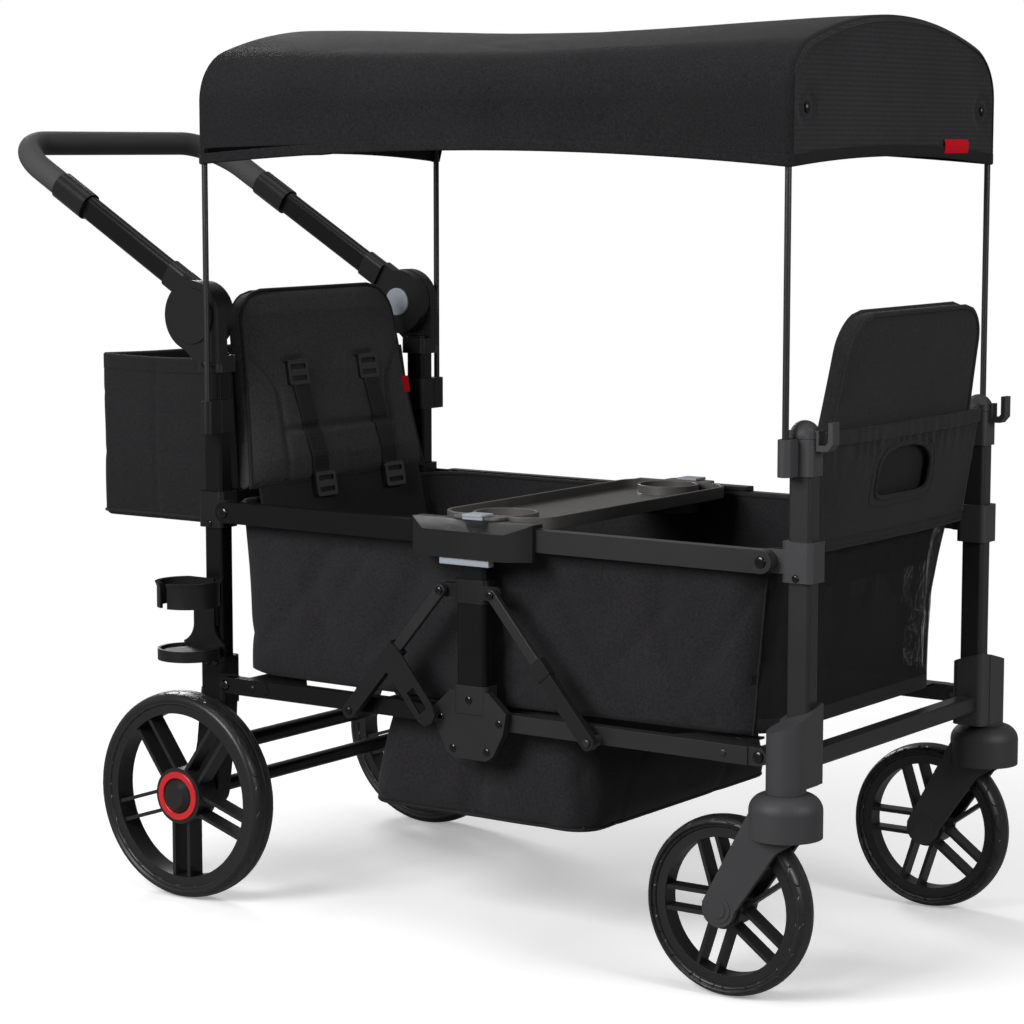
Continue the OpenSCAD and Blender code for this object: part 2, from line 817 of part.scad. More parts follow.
module tub() {
    color([0.06, 0.06, 0.07]) difference() {
        union() {
            loft(tub_rings(0, 0, 0));
            loft(well_rings(0, well_z, tub_floor_z + 1));
        }
        loft(tub_rings(tub_t, tub_t, 9));
        loft(well_rings(tub_t, well_z + tub_t, tub_floor_z + tub_t + 2));
    }
}

// Canopy cloth over both rods

// Outline of the roof across the wagon, shrunk by inset and lowered by sag
roof_gap = 0.4;
roof_arc = 10;
shoulder_arc = 4;
function roof_outline(inset, sag, low) =
    let (over = hoop_d / 2 + roof_gap + canopy_t - inset, half = hoop_y + over)
    concat(
        [[-half, low]],
        [for (i = [0 : shoulder_arc])
            let (a = 180 - (90 - arch_angle) * i / shoulder_arc)
            [-hoop_y + shoulder_r + (shoulder_r + over) * cos(a),
                shoulder_z + (shoulder_r + over) * sin(a) - sag * i / shoulder_arc * 0.6]],
        [for (i = [1 : roof_arc - 1])
            let (a = 90 + arch_angle - 2 * arch_angle * i / roof_arc)
            [(roof_r + over) * cos(a),
                arch_z + (roof_r + over) * sin(a) - sag * (0.6 + 0.4 * sin(180 * i / roof_arc))]],
        [for (i = [0 : shoulder_arc])
            let (a = 90 - arch_angle - (90 - arch_angle) * i / shoulder_arc)
            [hoop_y - shoulder_r + (shoulder_r + over) * cos(a),
                shoulder_z + (shoulder_r + over) * sin(a) - sag * (1 - i / shoulder_arc) * 0.6]],
        [[half, low]]
    );
roof_bays = 12;
function roof_rings(inset, low) = [
    for (i = [0 : roof_bays])
        let (
            t = i / roof_bays,
            end = hoop_d / 2 + roof_gap + canopy_t - inset,
            x0 = rear_hoop_x - end,
            x1 = front_hoop_x + end,
            sag = roof_sag * pow(sin(180 * t), 1.6)
        )
        [for (p = roof_outline(inset, sag, low)) [x0 + (x1 - x0) * t, -p[0], p[1]]]
];

module canopy() {
    color([0.05, 0.05, 0.06]) difference() {
        loft(roof_rings(0, hem_z));
        loft(roof_rings(canopy_t, hem_z - 9));
    }
}

// Push handle

// Handle frame: hub axis at the origin, arms towards -X, before the rise
module handle_place() {
    translate([hub_x, 0, hub_z]) rotate([0, handle_angle, 0]) children();
}

bend_x = -handle_reach + bend_r;
arm_end = bend_x + 42;
sleeve_end = arm_end + sleeve_grip;

// Tube through the straight ends, the bends and the grip
module grip_path(d, x_end) {
    pair() {
        translate([bend_x, arm_y, arm_lift]) rotate([0, 90, 0]) cylinder(d = d, h = x_end - bend_x);
        translate([bend_x, arm_y - bend_r, arm_lift]) rotate(90)
            rotate_extrude(angle = 90, $fn = 96) translate([bend_r, 0]) circle(d = d);
    }
    translate([-handle_reach, -arm_y + bend_r, arm_lift]) rotate([-90, 0, 0])
        cylinder(d = d, h = 2 * (arm_y - bend_r));
}

// Flat oval arms and the round bar that they continue into
module handle_bar() {
    color([0.09, 0.09, 0.1]) handle_place() {
        pair() translate([sleeve_end - 8, arm_y, arm_lift]) rotate([0, 90, 0])
            bar(arm_h, arm_d, -hub_r - 3 - sleeve_end + 8, arm_d / 2 - 0.5);
        grip_path(bar_d, sleeve_end - 8);
    }
}

// Foam sleeve over the round bar
module handle_grip() {
    color([0.07, 0.07, 0.07]) handle_place() difference() {
        grip_path(grip_d, arm_end);
        grip_path(bar_d + 2 * fit, arm_end + 9);
    }
}

// Inner hub half, with the socket of the arm
module knuckle() {
    difference() {
        union() {
            slab(knuckle_in, knuckle_out) {
                circle(hub_r - 1, $fn = 96);
                translate([-hub_r - 4, arm_lift - arm_h / 2 - 2]) square([hub_r + 4, arm_h + 4]);
            }
            translate([-hub_r - 34, arm_y, arm_lift]) rotate([0, 90, 0])
                bar(arm_h + 4, arm_d + 4, 34, arm_d / 2 - 0.5);
        }
        translate([-hub_r - 60, arm_y, arm_lift]) rotate([0, 90, 0])
            bar(arm_h + 2 * fit, arm_d + 2 * fit, 57 + fit, arm_d / 2 - 0.5 + fit);
        pin_y(0, 0, 2 * pivot_r + 2 * pin_clear, knuckle_out - pivot_len - 1, knuckle_out + 9);
        pin_y(0, 0, 2 * button_r + 0.6, knuckle_in - 20, knuckle_in + button_depth);
    }
}

// Knuckles at the hubs and the sleeves at the ends of the grip
module handle_fittings() {
    color([0.1, 0.1, 0.11]) handle_place() pair() {
        knuckle();
        translate([arm_end + fit, arm_y, arm_lift]) rotate([0, 90, 0]) difference() {
            bar(arm_h + 4, arm_d + 14, sleeve_grip, 14);
            translate([0, 0, -1]) cylinder(d = bar_d + 2 * fit, h = sleeve_grip - 7 + 1 - fit);
            translate([0, 0, sleeve_grip - 8 - 2 * fit])
                bar(arm_h + 2 * fit, arm_d + 2 * fit, 30, arm_d / 2 - 0.5 + fit);
            translate([0, 0, sleeve_grip - 16]) cylinder(d = bar_d + 2 * fit, h = 12);
        }
    }
}

// Push button on the inner face of a hub
module hub_button() {
    color([0.45, 0.48, 0.53]) handle_place()
        pin_y(0, 0, 2 * button_r, knuckle_in - button_rise, knuckle_in + button_depth - 4);
}

module hub_button_right() {
    right() hub_button();
}

module hub_button_left() {
    hub_button();
}

// Rear wheels

// Ring about the wheel axis from its half profile
module wheel_place(x, y, z) {
    translate([x, y, z]) rotate([-90, 0, 0]) children();
}

// Tyre with a rounded tread
module tyre(d, w, t) {
    r = d / 2;
    crown = 9;
    rotate_extrude($fn = 120) translate([r - t, 0]) difference() {
        union() {
            translate([0, -w / 2 + 4]) square([t - crown, w - 8]);
            translate([t - crown - 1, -w / 2 + crown]) square([crown + 1, w - 2 * crown]);
            for (s = [-1, 1]) translate([t - crown, s * (w / 2 - crown)]) circle(crown);
        }
        translate([-20, -w]) square([20, 2 * w]);
    }
}

// Rim with double spokes and a hub that is bored for the axle from its inner side
module rim(d, w, t, bore, hub_rad, hub_half, turn) {
    r = d / 2 - t - fit;
    lip = 12;
    difference() {
        union() {
            translate([0, 0, -w / 2 + 6]) linear_extrude(w - 12) difference() {
                circle(r, $fn = 120);
                circle(r - lip, $fn = 120);
            }
            translate([0, 0, -hub_half]) cylinder(r = hub_rad, h = 2 * hub_half);
            translate([0, 0, -w * 0.3]) linear_extrude(w * 0.6)
                for (i = [0 : spokes - 1], s = [-1, 1])
                    rotate(i * 360 / spokes + turn) translate([hub_rad - 14, s * spoke_gap - spoke_t / 2])
                        square([r - lip - hub_rad + 18, spoke_t]);
        }
        cylinder(d = bore, h = 4 * w, center = true);
    }
}

module rear_tyre() {
    color([0.05, 0.05, 0.05]) wheel_place(axle_x, rear_track, axle_z) tyre(rear_d, rear_w, tyre_rear_t);
}

module rear_rim() {
    color([0.08, 0.08, 0.09]) wheel_place(axle_x, rear_track, axle_z) {
        difference() {
            rim(rear_d, rear_w, tyre_rear_t, axle_d + 2 * pin_clear, 38, rear_w / 2 - 3, 18);
            translate([0, 0, rear_w / 2 - 5]) difference() {
                cylinder(r = ring_out + fit, h = 9);
                translate([0, 0, -1]) cylinder(r = ring_in - fit, h = 20);
            }
        }
        translate([0, 0, rear_w / 2 - 3]) difference() {
            cylinder(r1 = ring_in - 1, r2 = ring_in - 8, h = 9);
            translate([0, 0, -9]) cylinder(d = axle_d + 2 * pin_clear, h = 9 + 0.5);
        }
    }
}

module rear_ring() {
    color([0.75, 0.06, 0.06]) wheel_place(axle_x, rear_track, axle_z)
        translate([0, 0, rear_w / 2 - 5]) difference() {
            cylinder(r = ring_out, h = 4.5);
            translate([0, 0, -1]) cylinder(r = ring_in, h = 9);
        }
}

module rear_tyre_right() {
    right() rear_tyre();
}

module rear_rim_right() {
    right() rear_rim();
}

module rear_ring_right() {
    right() rear_ring();
}

module rear_tyre_left() {
    rear_tyre();
}

module rear_rim_left() {
    rear_rim();
}

module rear_ring_left() {
    rear_ring();
}

// Side rails

// Rail of height h between two round ends, with a bore in each
module rail(x0, x1, z, h, bore0, bore1) {
    difference() {
        slab(rail_in, rail_out) {
            translate([x0, z - h / 2]) square([x1 - x0, h]);
            for (x = [x0, x1]) translate([x, z]) circle(h / 2);
        }
        pin_y(x0, z, bore0, rail_in - 9, rail_out + 9);
        pin_y(x1, z, bore1, rail_in - 9, rail_out + 9);
    }
}

work_bore = pin_d + 2 * pin_clear;
loop_bore = pin_d + 2 * loop_clear;

module rear_top_rails() {
    color([0.08, 0.08, 0.09]) pair()
        rail(rear_hinge_x, mid_x - hinge_mid, top_rail_z, top_rail_h, work_bore, work_bore);
}

module front_top_rails() {
    color([0.08, 0.08, 0.09]) at_front() pair()
        rail(rear_hinge_x, mid_x - hinge_mid, top_rail_z, top_rail_h, work_bore, work_bore);
}

// Base rail with the foot of its strut and the corner plate
module base_rail(bore_post, bore_mid) {
    foot_z = base_rail_z - foot_drop;
    rail(rear_hinge_x, mid_x - hinge_mid, base_rail_z, base_rail_h, bore_post, bore_mid);
    pin_y(mid_x - foot_x, foot_z, 2 * ear_r - 4, rail_out - 1, sleeve_in - lug_gap);
    pin_y(mid_x - foot_x, foot_z, strut_pin_d, rail_out - 1, sleeve_out + lug_gap);
    screw_head(mid_x - foot_x, foot_z, sleeve_out + lug_gap, 10, 2.6);
    slab(rail_out - 0.5, rail_out + shoe_t) polygon([
        [rear_hinge_x + 14, base_rail_z - base_r], [rear_hinge_x + 62, base_rail_z - base_r],
        [rear_hinge_x + 76, base_rail_z - 3], [rear_hinge_x + 70, base_rail_z + base_r],
        [rear_hinge_x + 14, base_rail_z + base_r]
    ]);
    screw_head(rear_hinge_x + 48, base_rail_z, rail_out + shoe_t, 9, 2);
    translate([0, 0, base_rail_z + base_r - 3]) linear_extrude(3) difference() {
        polygon([
            [rear_hinge_x + 30, rail_in + 2], [rear_hinge_x + 130, rail_in + 2],
            [rear_hinge_x + 105, rail_in - 28], [rear_hinge_x + 30, rail_in - 50]
        ]);
        translate([rear_hinge_x + 52, rail_in - 20]) circle(6);
    }
}

module rear_base_rails() {
    color([0.08, 0.08, 0.09]) pair() base_rail(work_bore, loop_bore);
}

module front_base_rails() {
    color([0.08, 0.08, 0.09]) at_front() pair() base_rail(loop_bore, work_bore);
}

// Seat floor board inside the tub
module floor_board(back) {
    x0 = mid_x - tub_floor_len + floor_shift + tub_t + 10;
    x1 = mid_x - well_half - 4 - back;
    translate([(x0 + x1) / 2, 0, tub_floor_z + tub_t + 0.3])
        bar(x1 - x0, 2 * board_half, board_t, 50);
}

module rear_floor() {
    color([0.15, 0.14, 0.13]) floor_board(well_back);
}

module front_floor() {
    color([0.15, 0.14, 0.13]) at_front() floor_board(-well_back);
}

// Middle columns

module mid_bar(grow, z0, z1) {
    translate([mid_x, mid_y, z0])
        bar(mid_w + 2 * grow, mid_d + 2 * grow, z1 - z0, 8 + grow);
}

module mid_posts() {
    color([0.08, 0.08, 0.09]) pair() mid_bar(0, mid_bottom, latch_top - latch_roof - seat_gap);
}

// Latch body: a roof and an outer wall round the ends of the top rails
module latch_body() {
    bevel = 22;
    difference() {
        translate([0, 0, latch_bottom]) linear_extrude(latch_h) polygon([
            [mid_x - latch_half, rail_in - 0.2], [mid_x + latch_half, rail_in - 0.2],
            [mid_x + latch_half, plate_in + 6], [mid_x + latch_half - 30, latch_outer],
            [mid_x - latch_half + 30, latch_outer], [mid_x - latch_half, plate_in + 6]
        ]);
        translate([mid_x - latch_half - 9, rail_in - 9, latch_bottom - 9])
            cube([2 * latch_half + 18, plate_in - rail_in + 9, latch_h - latch_roof + 9]);
        mid_bar(seat_gap, latch_bottom - 9, latch_top - latch_roof);
        translate([mid_x - 120, latch_outer, latch_top - bevel * 0.55]) rotate([-30, 0, 0])
            translate([0, -80, 0]) cube([240, 160, 60]);
        for (s = [-1, 1])
            pin_y(mid_x + s * hinge_mid, top_rail_z, work_bore, rail_in - 9, plate_in + 14 + seat_gap);
        translate([mid_x - latch_button_half - 0.4, mid_out + 0.6, latch_bottom - 1])
            cube([2 * latch_button_half + 0.8, 12.8, 8]);
    }
}

module latch_bodies() {
    color([0.11, 0.11, 0.12]) pair() latch_body();
}

// Shield shaped bracket that joins the post to the base rails
module mid_bracket() {
    difference() {
        union() {
            slab(plate_in, plate_in + bracket_t) polygon([
                [mid_x - 29, base_rail_z + 37], [mid_x + 29, base_rail_z + 37],
                [mid_x + 56, base_rail_z + 13], [mid_x + 51, base_rail_z - 14],
                [mid_x + 36, base_rail_z - 43], [mid_x + 25, base_rail_z - 50],
                [mid_x - 25, base_rail_z - 50], [mid_x - 36, base_rail_z - 43],
                [mid_x - 51, base_rail_z - 14], [mid_x - 56, base_rail_z + 13]
            ]);
            translate([mid_x, mid_y, base_rail_z + 8])
                bar(mid_w + 8, mid_d + 5, 36, 9);
        }
        mid_bar(seat_gap, mid_bottom - seat_gap, top_rail_z);
        for (s = [-1, 1])
            pin_y(mid_x + s * hinge_mid, base_rail_z, work_bore, rail_in - 9, plate_in + 2 * bracket_t);
    }
}

module mid_brackets() {
    color([0.1, 0.1, 0.11]) pair() mid_bracket();
}

// Collar with two ears for the struts
module mid_collar() {
    difference() {
        union() {
            translate([mid_x, mid_y, collar_z - collar_h / 2])
                bar(mid_w + 2 * collar_wall, mid_d + 2 * collar_wall - 1, collar_h, 9);
            slab(ear_out - ear_t, ear_out) {
                translate([mid_x - collar_ear, collar_z - ear_r]) square([2 * collar_ear, 2 * ear_r]);
                for (s = [-1, 1]) translate([mid_x + s * collar_ear, collar_z]) circle(ear_r);
            }
        }
        mid_bar(seat_gap, collar_z - 90, collar_z + 90);
        for (s = [-1, 1])
            pin_y(mid_x + s * collar_ear, collar_z, strut_pin_d + 2 * pin_clear, mid_in, ear_out + 30);
    }
}

module mid_collars() {
    color([0.1, 0.1, 0.11]) pair() mid_collar();
}

// Hinge pins and screws of the middle columns
module mid_fasteners() {
    face = plate_in + bracket_t;
    color([0.2, 0.2, 0.21]) pair() {
        for (s = [-1, 1]) {
            pin_y(mid_x + s * hinge_mid, top_rail_z, pin_d, rail_in, plate_in + 14);
            pin_y(mid_x + s * hinge_mid, base_rail_z, pin_d, rail_in, face);
            screw_head(mid_x + s * hinge_mid, base_rail_z, face, 10, 2);
            screw_head(mid_x + s * 26, base_rail_z - 38, face, 10, 2);
            pin_y(mid_x + s * collar_ear, collar_z, strut_pin_d, ear_out - ear_t, sleeve_out + lug_gap);
            screw_head(mid_x + s * collar_ear, collar_z, sleeve_out + lug_gap, 10, 2.6);
        }
        screw_head(mid_x, base_rail_z + 26, mid_out + 2.5, 10, 2.6);
    }
}

// Push button under a latch body
module latch_button() {
    color([0.45, 0.48, 0.53]) translate([mid_x - latch_button_half, mid_out + 1, latch_bottom - 9])
        cube([2 * latch_button_half, 12, 11]);
}

module latch_button_right() {
    right() latch_button();
}

module latch_button_left() {
    latch_button();
}

// Snack tray between the latch bodies

module tray() {
    r = tray_cup_d / 2;
    color([0.16, 0.155, 0.15]) translate([mid_x, 0, 0]) difference() {
        union() {
            difference() {
                union() {
                    translate([0, 0, tray_top - tray_plate])
                        bar(2 * tray_half_w, 2 * tray_half, tray_plate, 44);
                    translate([0, 0, latch_top + 0.3])
                        bar(2 * lip_half, 2 * lip_out, tray_top - latch_top - 0.3, 8);
                }
                translate([0, 0, tray_top - tray_dish])
                    bar(2 * (tray_half_w - tray_edge), 2 * (tray_half - tray_edge), 20, 44 - tray_edge);
            }
            for (y = [-cup_y, cup_y])
                translate([0, y, tray_top - tray_cup_depth - 3]) cylinder(r = r + 4, h = tray_cup_depth + 3);
        }
        for (y = [-cup_y, cup_y])
            translate([0, y, tray_top - tray_cup_depth]) cylinder(r = r, h = tray_cup_depth + 9);
    }
}

// Release tab over the end of the tray
module tray_tab() {
    color([0.45, 0.48, 0.53]) translate([mid_x - 15, 0, 0]) {
        translate([0, tray_half + 4, tray_top + 0.3]) cube([30, lip_out - tray_half + 0.3, 3]);
        translate([0, lip_out + 0.3, latch_top + 0.4]) cube([30, 3, tray_top - latch_top + 2.9]);
    }
}

module tray_tab_right() {
    right() tray_tab();
}

module tray_tab_left() {
    tray_tab();
}

// Struts, drawn for the rear left side

// Strut frame: the given pivot at the origin, the strut along -Z
module strut_place(x, z, turn) {
    translate([x, 0, z]) rotate([0, turn, 0]) children();
}

module strut_rod() {
    strut_place(mid_x - collar_ear, collar_z, strut_angle) difference() {
        slab(rod_in, rod_out) {
            circle(rod_w / 2);
            translate([-rod_w / 2, -rod_len]) square([rod_w, rod_len]);
        }
        pin_y(0, 0, strut_pin_d + 2 * pin_clear, rod_in - 9, rod_out + 9);
    }
}

module rear_strut_rods() {
    color([0.09, 0.09, 0.1]) pair() strut_rod();
}

module front_strut_rods() {
    color([0.09, 0.09, 0.1]) at_front() pair() strut_rod();
}

module strut_sleeve() {
    eye = 22;
    strut_place(mid_x - foot_x, base_rail_z - foot_drop, strut_angle) difference() {
        union() {
            slab(sleeve_in, sleeve_out) {
                circle(sleeve_half);
                translate([-sleeve_half, 0]) square([2 * sleeve_half, sleeve_len]);
            }
            slab(sleeve_in, sleeve_out + 1.5)
                translate([-sleeve_half - 1.5, sleeve_len - 24]) square([2 * sleeve_half + 3, 24]);
        }
        pin_y(0, 0, strut_pin_d + 2 * pin_clear, sleeve_in - 9, sleeve_out + 9);
        translate([-sleeve_half + sleeve_wall, rod_in - 0.3, eye])
            cube([2 * (rod_w / 2 + rod_play), rod_t + 0.6, sleeve_len]);
    }
}

// Storage hook plate on the rear sleeves
module hook_plate() {
    strut_place(mid_x - foot_x, base_rail_z - foot_drop, strut_angle)
        slab(sleeve_out + 1.4, sleeve_out + 1.4 + hook_t) difference() {
            polygon([
                [-sleeve_half, sleeve_len], [sleeve_half + 4, sleeve_len],
                [hook_len - 14, sleeve_len - 14], [hook_len - 3, sleeve_len - 21],
                [hook_len, sleeve_len - 32], [hook_len - 5, sleeve_len - 43],
                [hook_len - 16, sleeve_len - 46], [sleeve_half + 4, sleeve_len - hook_w],
                [-sleeve_half, sleeve_len - hook_w]
            ]);
            polygon([
                [hook_len - 50, sleeve_len - 18], [hook_len - 18, sleeve_len - 23],
                [hook_len - 20, sleeve_len - 37], [hook_len - 52, sleeve_len - 31]
            ]);
        }
}

module rear_strut_sleeves() {
    color([0.1, 0.1, 0.11]) pair() {
        strut_sleeve();
        hook_plate();
    }
}

module front_strut_sleeves() {
    color([0.1, 0.1, 0.11]) at_front() pair() strut_sleeve();
}

// Front frame

module front_posts() {
    color([0.09, 0.09, 0.1]) pair() translate([front_x, post_y, base_rail_z - 25])
        bar(post_w, post_d, front_post_top - (base_rail_z - 25));
}

// Corner moulding with the caster housing beside the post
module corner_bracket() {
    low = base_rail_z - 38;
    high = base_rail_z + 66;
    difference() {
        union() {
            translate([front_x, post_y, low + 6])
                bar(post_w + 2 * bracket_wall + 4, post_d + 2 * bracket_wall, high - low - 6, 10);
            translate([front_x, caster_y, low]) cylinder(r = housing_r, h = high - low);
            translate([front_x - 10, post_y, low + 6])
                cube([10 + housing_r, caster_y - post_y, high - low - 6]);
            at_front() lug(base_rail_z, lug_r - 2);
        }
        post_pocket(front_x, base_rail_z - 25 - seat_gap, high + 9);
        translate([front_x, caster_y, low - 9]) cylinder(d = stem_d + 2 * pin_clear, h = 9 + 70);
        translate([front_x + housing_r, post_in - bracket_wall, high]) rotate([-14, -18, 0])
            translate([-150, -50, 0]) cube([200, 200, 80]);
        pin_y(front_hinge_x, base_rail_z, pin_d + 2 * pin_clear, lug_in - 9, lug_out + 9);
        translate([front_hinge_x - 30, lug_out, low - 9])
            cube([30 + base_r + 1, 40, high - low + 20]);
        translate([front_hinge_x - 30, post_in - 20, low - 9])
            cube([30 + hinge_in - post_w / 2 - bracket_wall - 2.1, lug_in - post_in + 20, high - low + 20]);
    }
}

module front_brackets() {
    color([0.1, 0.1, 0.11]) pair() {
        at_front() rail_clamp();
        corner_bracket();
    }
}

// Cross rail between the corner mouldings
module front_cross_rail() {
    half = post_in - bracket_wall - seat_gap;
    color([0.08, 0.08, 0.09]) translate([front_x, -half, base_rail_z - 4]) rotate([-90, 0, 0])
        bar(post_w - 4, base_rail_h, 2 * half, tube_corner);
}

// Post caps, each with a hook that faces forward
module front_caps() {
    w = post_w + bracket_wall;
    d = post_d + bracket_wall;
    color([0.1, 0.1, 0.11]) pair() {
        difference() {
            union() {
                translate([front_x, post_y, cap_bottom]) bar(w, d, front_post_top + 3 - cap_bottom, 6);
                translate([front_x, post_y, front_post_top - 3]) sphere(w / 2);
            }
            translate([front_x - w, post_y - w, cap_bottom - 2 * w]) cube(2 * w);
            post_pocket(front_x, front_post_top - 40, front_post_top + seat_gap);
        }
        slab(post_y - 8, post_y + 8) {
            face = front_x + w / 2;
            tip = front_x + post_w / 2 + hook_reach;
            low = front_post_top - 20;
            polygon([
                [face - 1, front_post_top + 4], [face + 4.5, front_post_top + 4],
                [face + 4.5, low + 7], [tip - 10, low + 7], [tip - 6, low + 11],
                [tip - 6, low + 34], [tip, low + 34], [tip, low + 8], [tip - 7, low],
                [face + 0.5, low], [face + 0.5, cap_bottom + 0.5], [face - 1, cap_bottom + 0.5]
            ]);
        }
    }
}

// Rod clips stand clear below the caps
module front_rod_clips() {
    color([0.1, 0.1, 0.11]) at_front() pair() translate([0, 0, -2]) rod_clip();
}

module front_hoop() {
    color([0.1, 0.1, 0.1]) hoop(front_hoop_x);
}

module front_seat_back() {
    color([0.08, 0.08, 0.09]) at_front() seat_back();
}

// Panel between the front posts, with a D shaped pocket opening
module front_panel() {
    foot = seat_foot - 20;
    len = front_post_top - foot;
    mouth_r = 70;
    color([0.07, 0.07, 0.08]) at_front()
        translate([rear_pad_x - 0.3 + (seat_foot - foot) * tan(seat_lean), 0, foot])
            rotate([0, -seat_lean, 0]) translate([-panel_t, -panel_half, 0]) difference() {
                cube([panel_t, 2 * panel_half, len]);
                translate([-9, panel_half - mouth_r, len * 0.42]) cube([20, 2 * mouth_r, 30]);
                translate([-9, panel_half, len * 0.42 + 30]) rotate([0, 90, 0]) difference() {
                    cylinder(r = mouth_r, h = 20);
                    translate([0, -2 * mouth_r, -9]) cube([2 * mouth_r, 4 * mouth_r, 40]);
                    translate([-2 * mouth_r, -2 * mouth_r, -9]) cube([1.5 * mouth_r, 4 * mouth_r, 40]);
                }
            }
}

// Hinge pins and screws of the front frame
module front_fasteners() {
    color([0.2, 0.2, 0.21]) pair() {
        for (z = [top_rail_z, base_rail_z])
            pin_y(front_hinge_x, z, pin_d, lug_in, rail_out + lug_gap);
        screw_head(front_hinge_x, top_rail_z, rail_out + lug_gap, 14, 3);
        screw_head(front_hinge_x, base_rail_z, rail_out + lug_gap, 14, 3);
        screw_head(front_x, top_rail_z - 18.5, post_out + bracket_wall);
    }
}

// Casters

// Fork with its stem, hood, legs and wheel axle
module fork() {
    leg_in = front_w / 2 + fork_gap;
    leg_out = leg_in + fork_t;
    color([0.1, 0.1, 0.11]) translate([0, caster_y, 0]) {
        difference() {
            union() {
                translate([front_x, 0, hood_top - hood_h]) rotate_extrude() {
                    square([hood_r, hood_h - hood_round]);
                    square([hood_r - hood_round, hood_h]);
                    translate([hood_r - hood_round, hood_h - hood_round]) circle(hood_round);
                }
                for (s = [0, 1]) mirror([0, s, 0]) slab(leg_in, leg_out) {
                    polygon([
                        [front_x + 28, hood_top - 34], [front_x - 34, hood_top - 22],
                        [front_axle_x - 22, front_axle_z + 6], [front_axle_x, front_axle_z - 16],
                        [front_axle_x + 22, front_axle_z - 2], [front_x + 2, hood_top - hood_h - 16],
                        [front_x + 24, hood_top - hood_h - 2]
                    ]);
                    translate([front_axle_x, front_axle_z]) circle(22);
                }
            }
            translate([front_axle_x, -leg_in, front_axle_z]) rotate([-90, 0, 0])
                cylinder(r = front_d / 2 + 3, h = 2 * leg_in, $fn = 96);
        }
        translate([front_x, 0, hood_top - 1]) cylinder(d = stem_d, h = 60);
        pin_y(front_axle_x, front_axle_z, axle_d, -leg_in - 1, leg_in + 1);
        pin_y(front_axle_x, front_axle_z, axle_d + 8, -leg_in - 1, -leg_in + 2.2);
        pin_y(front_axle_x, front_axle_z, axle_d + 8, leg_in - 2.2, leg_in + 1);
        for (s = [0, 1]) mirror([0, s, 0]) {
            pin_y(front_axle_x, front_axle_z, 34, leg_out - 1, leg_out + 1);
            pin_y(front_axle_x, front_axle_z, 22, leg_out - 1, leg_out + 2);
        }
    }
}

module caster_fork_right() {
    right() fork();
}

module caster_fork_left() {
    fork();
}

module front_tyre() {
    color([0.05, 0.05, 0.05]) wheel_place(front_axle_x, caster_y, front_axle_z)
        tyre(front_d, front_w, tyre_front_t);
}

module front_rim() {
    color([0.08, 0.08, 0.09]) wheel_place(front_axle_x, caster_y, front_axle_z)
        rim(front_d, front_w, tyre_front_t, axle_d + 2 * pin_clear, 26, front_w / 2, 36);
}

module front_tyre_right() {
    right() front_tyre();
}

module front_rim_right() {
    right() front_rim();
}

module front_tyre_left() {
    front_tyre();
}

module front_rim_left() {
    front_rim();
}

rear_posts();
rear_brackets();
rear_cross_tubes();
handle_hubs();
rear_rod_clips();
rear_hoop();
rear_seat_back();
harness_straps();
harness_adjusters();
rear_bag();
cup_holder();
rear_fasteners();
tub();
canopy();
handle_bar();
handle_grip();
handle_fittings();
hub_button_right();
hub_button_left();
rear_tyre_right();
rear_rim_right();
rear_ring_right();
rear_tyre_left();
rear_rim_left();
rear_ring_left();
rear_top_rails();
front_top_rails();
rear_base_rails();
rear_floor();
front_base_rails();
front_floor();
mid_posts();
latch_bodies();
mid_brackets();
mid_collars();
mid_fasteners();
latch_button_right();
latch_button_left();
tray();
tray_tab_right();
tray_tab_left();
rear_strut_rods();
rear_strut_sleeves();
front_strut_rods();
front_strut_sleeves();
front_posts();
front_brackets();
front_cross_rail();
front_caps();
front_rod_clips();
front_hoop();
front_seat_back();
front_panel();
front_fasteners();
caster_fork_right();
front_tyre_right();
front_rim_right();
caster_fork_left();
front_tyre_left();
front_rim_left();
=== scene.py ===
import json
import math

import bmesh
import bpy
from mathutils import Matrix, Vector, noise


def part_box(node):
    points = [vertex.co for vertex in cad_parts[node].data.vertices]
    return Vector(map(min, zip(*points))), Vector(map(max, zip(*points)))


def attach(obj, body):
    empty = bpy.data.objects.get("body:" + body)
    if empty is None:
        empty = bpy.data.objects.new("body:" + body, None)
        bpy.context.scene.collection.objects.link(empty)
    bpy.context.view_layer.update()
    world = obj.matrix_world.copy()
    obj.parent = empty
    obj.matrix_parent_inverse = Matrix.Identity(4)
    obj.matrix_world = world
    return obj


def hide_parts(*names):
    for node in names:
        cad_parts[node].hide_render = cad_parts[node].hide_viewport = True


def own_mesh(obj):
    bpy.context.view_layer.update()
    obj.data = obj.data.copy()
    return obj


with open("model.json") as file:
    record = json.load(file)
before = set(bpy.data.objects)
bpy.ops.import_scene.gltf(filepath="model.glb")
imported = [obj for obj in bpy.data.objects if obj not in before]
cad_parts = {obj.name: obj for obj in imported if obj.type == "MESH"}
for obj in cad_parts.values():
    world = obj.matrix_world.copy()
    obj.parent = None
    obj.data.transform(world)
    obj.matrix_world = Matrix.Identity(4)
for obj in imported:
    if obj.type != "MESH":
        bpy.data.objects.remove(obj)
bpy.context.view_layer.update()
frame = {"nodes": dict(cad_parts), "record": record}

scene = bpy.context.scene
scene.view_settings.view_transform = "Standard"

# Helpers: a plain material, a piece given its material and body, and short ways to place nodes:
# a sum, a value moved from one range to another, a sine along a run, a split vector and a noise.


def blank(name, **sockets):
    material = bpy.data.materials.new(name)
    material.use_nodes = True
    tree = material.node_tree
    shader = tree.nodes["Principled BSDF"]
    for label, value in sockets.items():
        shader.inputs[label.replace("_", " ")].default_value = value
    return material, tree, shader


def dress(piece, material, body):
    piece.data.materials.append(material)
    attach(piece, body)


